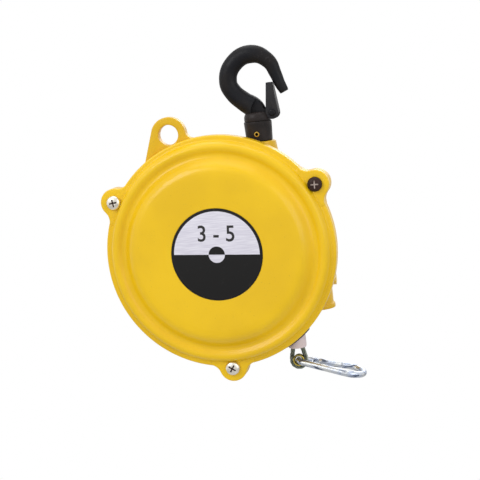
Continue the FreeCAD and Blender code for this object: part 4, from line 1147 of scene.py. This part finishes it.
def makeClip():
    rod = rodPiece("springClip", [(x, z, 0.0, clip["rod"]) for x, z in clipLine()])
    atPin = Matrix.Translation(spot(*clipSide(clip["pin"]), 0)) @ Matrix.Rotation(clipFlare, 4, "Z")
    ahead = boxShape(clip["ahead"], (clip["ahead"][0] / 2, 0, 0))
    combine(ahead, barAtPin(clip["rod"] + clip["aheadFit"], 8, 32), "DIFFERENCE")
    slot = boxShape(clip["slot"], (clip["slotMiddle"], 0, 0))
    for cutter in (ahead, slot, barAtPin(clip["pinHole"], 4, 24)):
        combine(rod, moved(cutter, atPin), "DIFFERENCE")
    softenEdges(rod, clip["rodEdge"], angle=50.0, segments=2)
    dress(moved(rod, clipSeat), "carabiner", ["carabiner"], "zinc_steel")

    gate = turnPiece("clipGate", softened(clip["gate"]), spot(0, 0, 0), "X", 40)
    combine(gate, barAtPin(clip["knuckle"], 4, 40), "DIFFERENCE")
    long, wide = clip["tongue"]
    half = clip["tongueHalf"]
    tongue = barAtPin(clip["rod"] - clip["tongueFit"], half, 40)
    combine(tongue, boxShape((long, wide, 2 * half), (long / 2, 0, 0)), "UNION")
    combine(gate, tongue, "UNION")
    combine(gate, barAtPin(clip["pinHole"], 4, 24), "DIFFERENCE")
    softenEdges(gate, clip["gateEdge"], angle=50.0, segments=2)
    dress(moved(gate, clipSeat @ atPin), "gate", ["carabiner_gate"], "zinc_steel")
    rivet = turnPiece("clipRivet", softened(clip["rivet"]), spot(0, 0, 0), "Z", 24)
    dress(moved(rivet, clipSeat @ atPin), "carabiner", ["gate_pin"], "zinc_steel")


makeClip()
print("spring clip made")


# Plain white background, soft studio lamps and a pale floor below the fully drawn rope
studio = {
    "floorZ": -1520.0,
    "floorSize": 12000.0,
    "floorGrey": 0.86,
    "floorGlow": (0.82, 1.0),
    "shadowReach": (220.0, 620.0),
    # Name, place, size and watts of each lamp
    "lamps": [
        ("keyLamp", (-700, -900, 650), 700, 6.2),
        ("fillLamp", (900, -700, 200), 800, 3.1),
        ("topLamp", (0, 100, 900), 900, 3.2),
        ("backLamp", (200, 900, 400), 700, 2.8),
    ],
    "aim": (-20, 0, -100),
    "ambient": 0.63,
}


def makeFloor():
    # White where the camera sees it, a little darker below the part
    bpy.ops.object.select_all(action="DESELECT")
    bpy.ops.mesh.primitive_plane_add(size=studio["floorSize"] * mm, location=spot(0, 0, studio["floorZ"]))
    floor = bpy.context.object
    floor.name = "studioFloor"
    settle(floor)
    grey = studio["floorGrey"]
    pale = Finish("paleFloor", {"Base Color": (grey, grey, grey, 1.0), "Roughness": 0.9})
    seen = pale.node("ShaderNodeLightPath", {}, {}, "Is Camera Ray")
    white = pale.node("ShaderNodeEmission", {}, {"Color": (1, 1, 1, 1), "Strength": 1.0}, "Emission")
    lit = Signal(pale, pale.shader.outputs["BSDF"])
    near, far = studio["shadowReach"]
    across = pale.stretched((1, 1, 0))
    away = pale.node("ShaderNodeVectorMath", {"operation": "LENGTH"}, {0: across}, "Value")
    bright = pale.between(away, near * mm, far * mm, *studio["floorGlow"])
    mix = pale.node("ShaderNodeMixShader", {}, {0: seen * bright, 1: lit, 2: white}, "Shader")
    pale.links.new(mix.socket, pale.nodes["Material Output"].inputs["Surface"])
    floor.data.materials.append(pale.material)


def makeLamps():
    for name, place, size, power in studio["lamps"]:
        bpy.ops.object.light_add(type="AREA", location=spot(*place))
        lamp = bpy.context.object
        lamp.name = name
        lamp.data.size = size * mm
        lamp.data.energy = power
        aim = spot(*studio["aim"]) - lamp.location
        lamp.rotation_mode = "QUATERNION"
        lamp.rotation_quaternion = aim.to_track_quat("-Z", "Y")


def makeSky():
    # The camera, gloss and clear matter see pure white, and everything else a dimmer light
    world = bpy.data.worlds.new("studioWorld")
    bpy.context.scene.world = world
    world.use_nodes = True
    nodes = world.node_tree.nodes
    links = world.node_tree.links
    sky = nodes["Background"]
    sky.inputs["Color"].default_value = (1, 1, 1, 1)
    rays = nodes.new("ShaderNodeLightPath")
    white = rays.outputs["Is Camera Ray"]
    for ray in ("Is Glossy Ray", "Is Transmission Ray"):
        either = nodes.new("ShaderNodeMath")
        either.operation = "MAXIMUM"
        links.new(white, either.inputs[0])
        links.new(rays.outputs[ray], either.inputs[1])
        white = either.outputs[0]
    level = nodes.new("ShaderNodeMapRange")
    level.inputs["To Min"].default_value = studio["ambient"]
    level.inputs["To Max"].default_value = 1.0
    links.new(white, level.inputs["Value"])
    links.new(level.outputs[0], sky.inputs["Strength"])


makeFloor()
makeLamps()
makeSky()
bpy.context.scene.view_settings.view_transform = "Standard"
print("studio made")
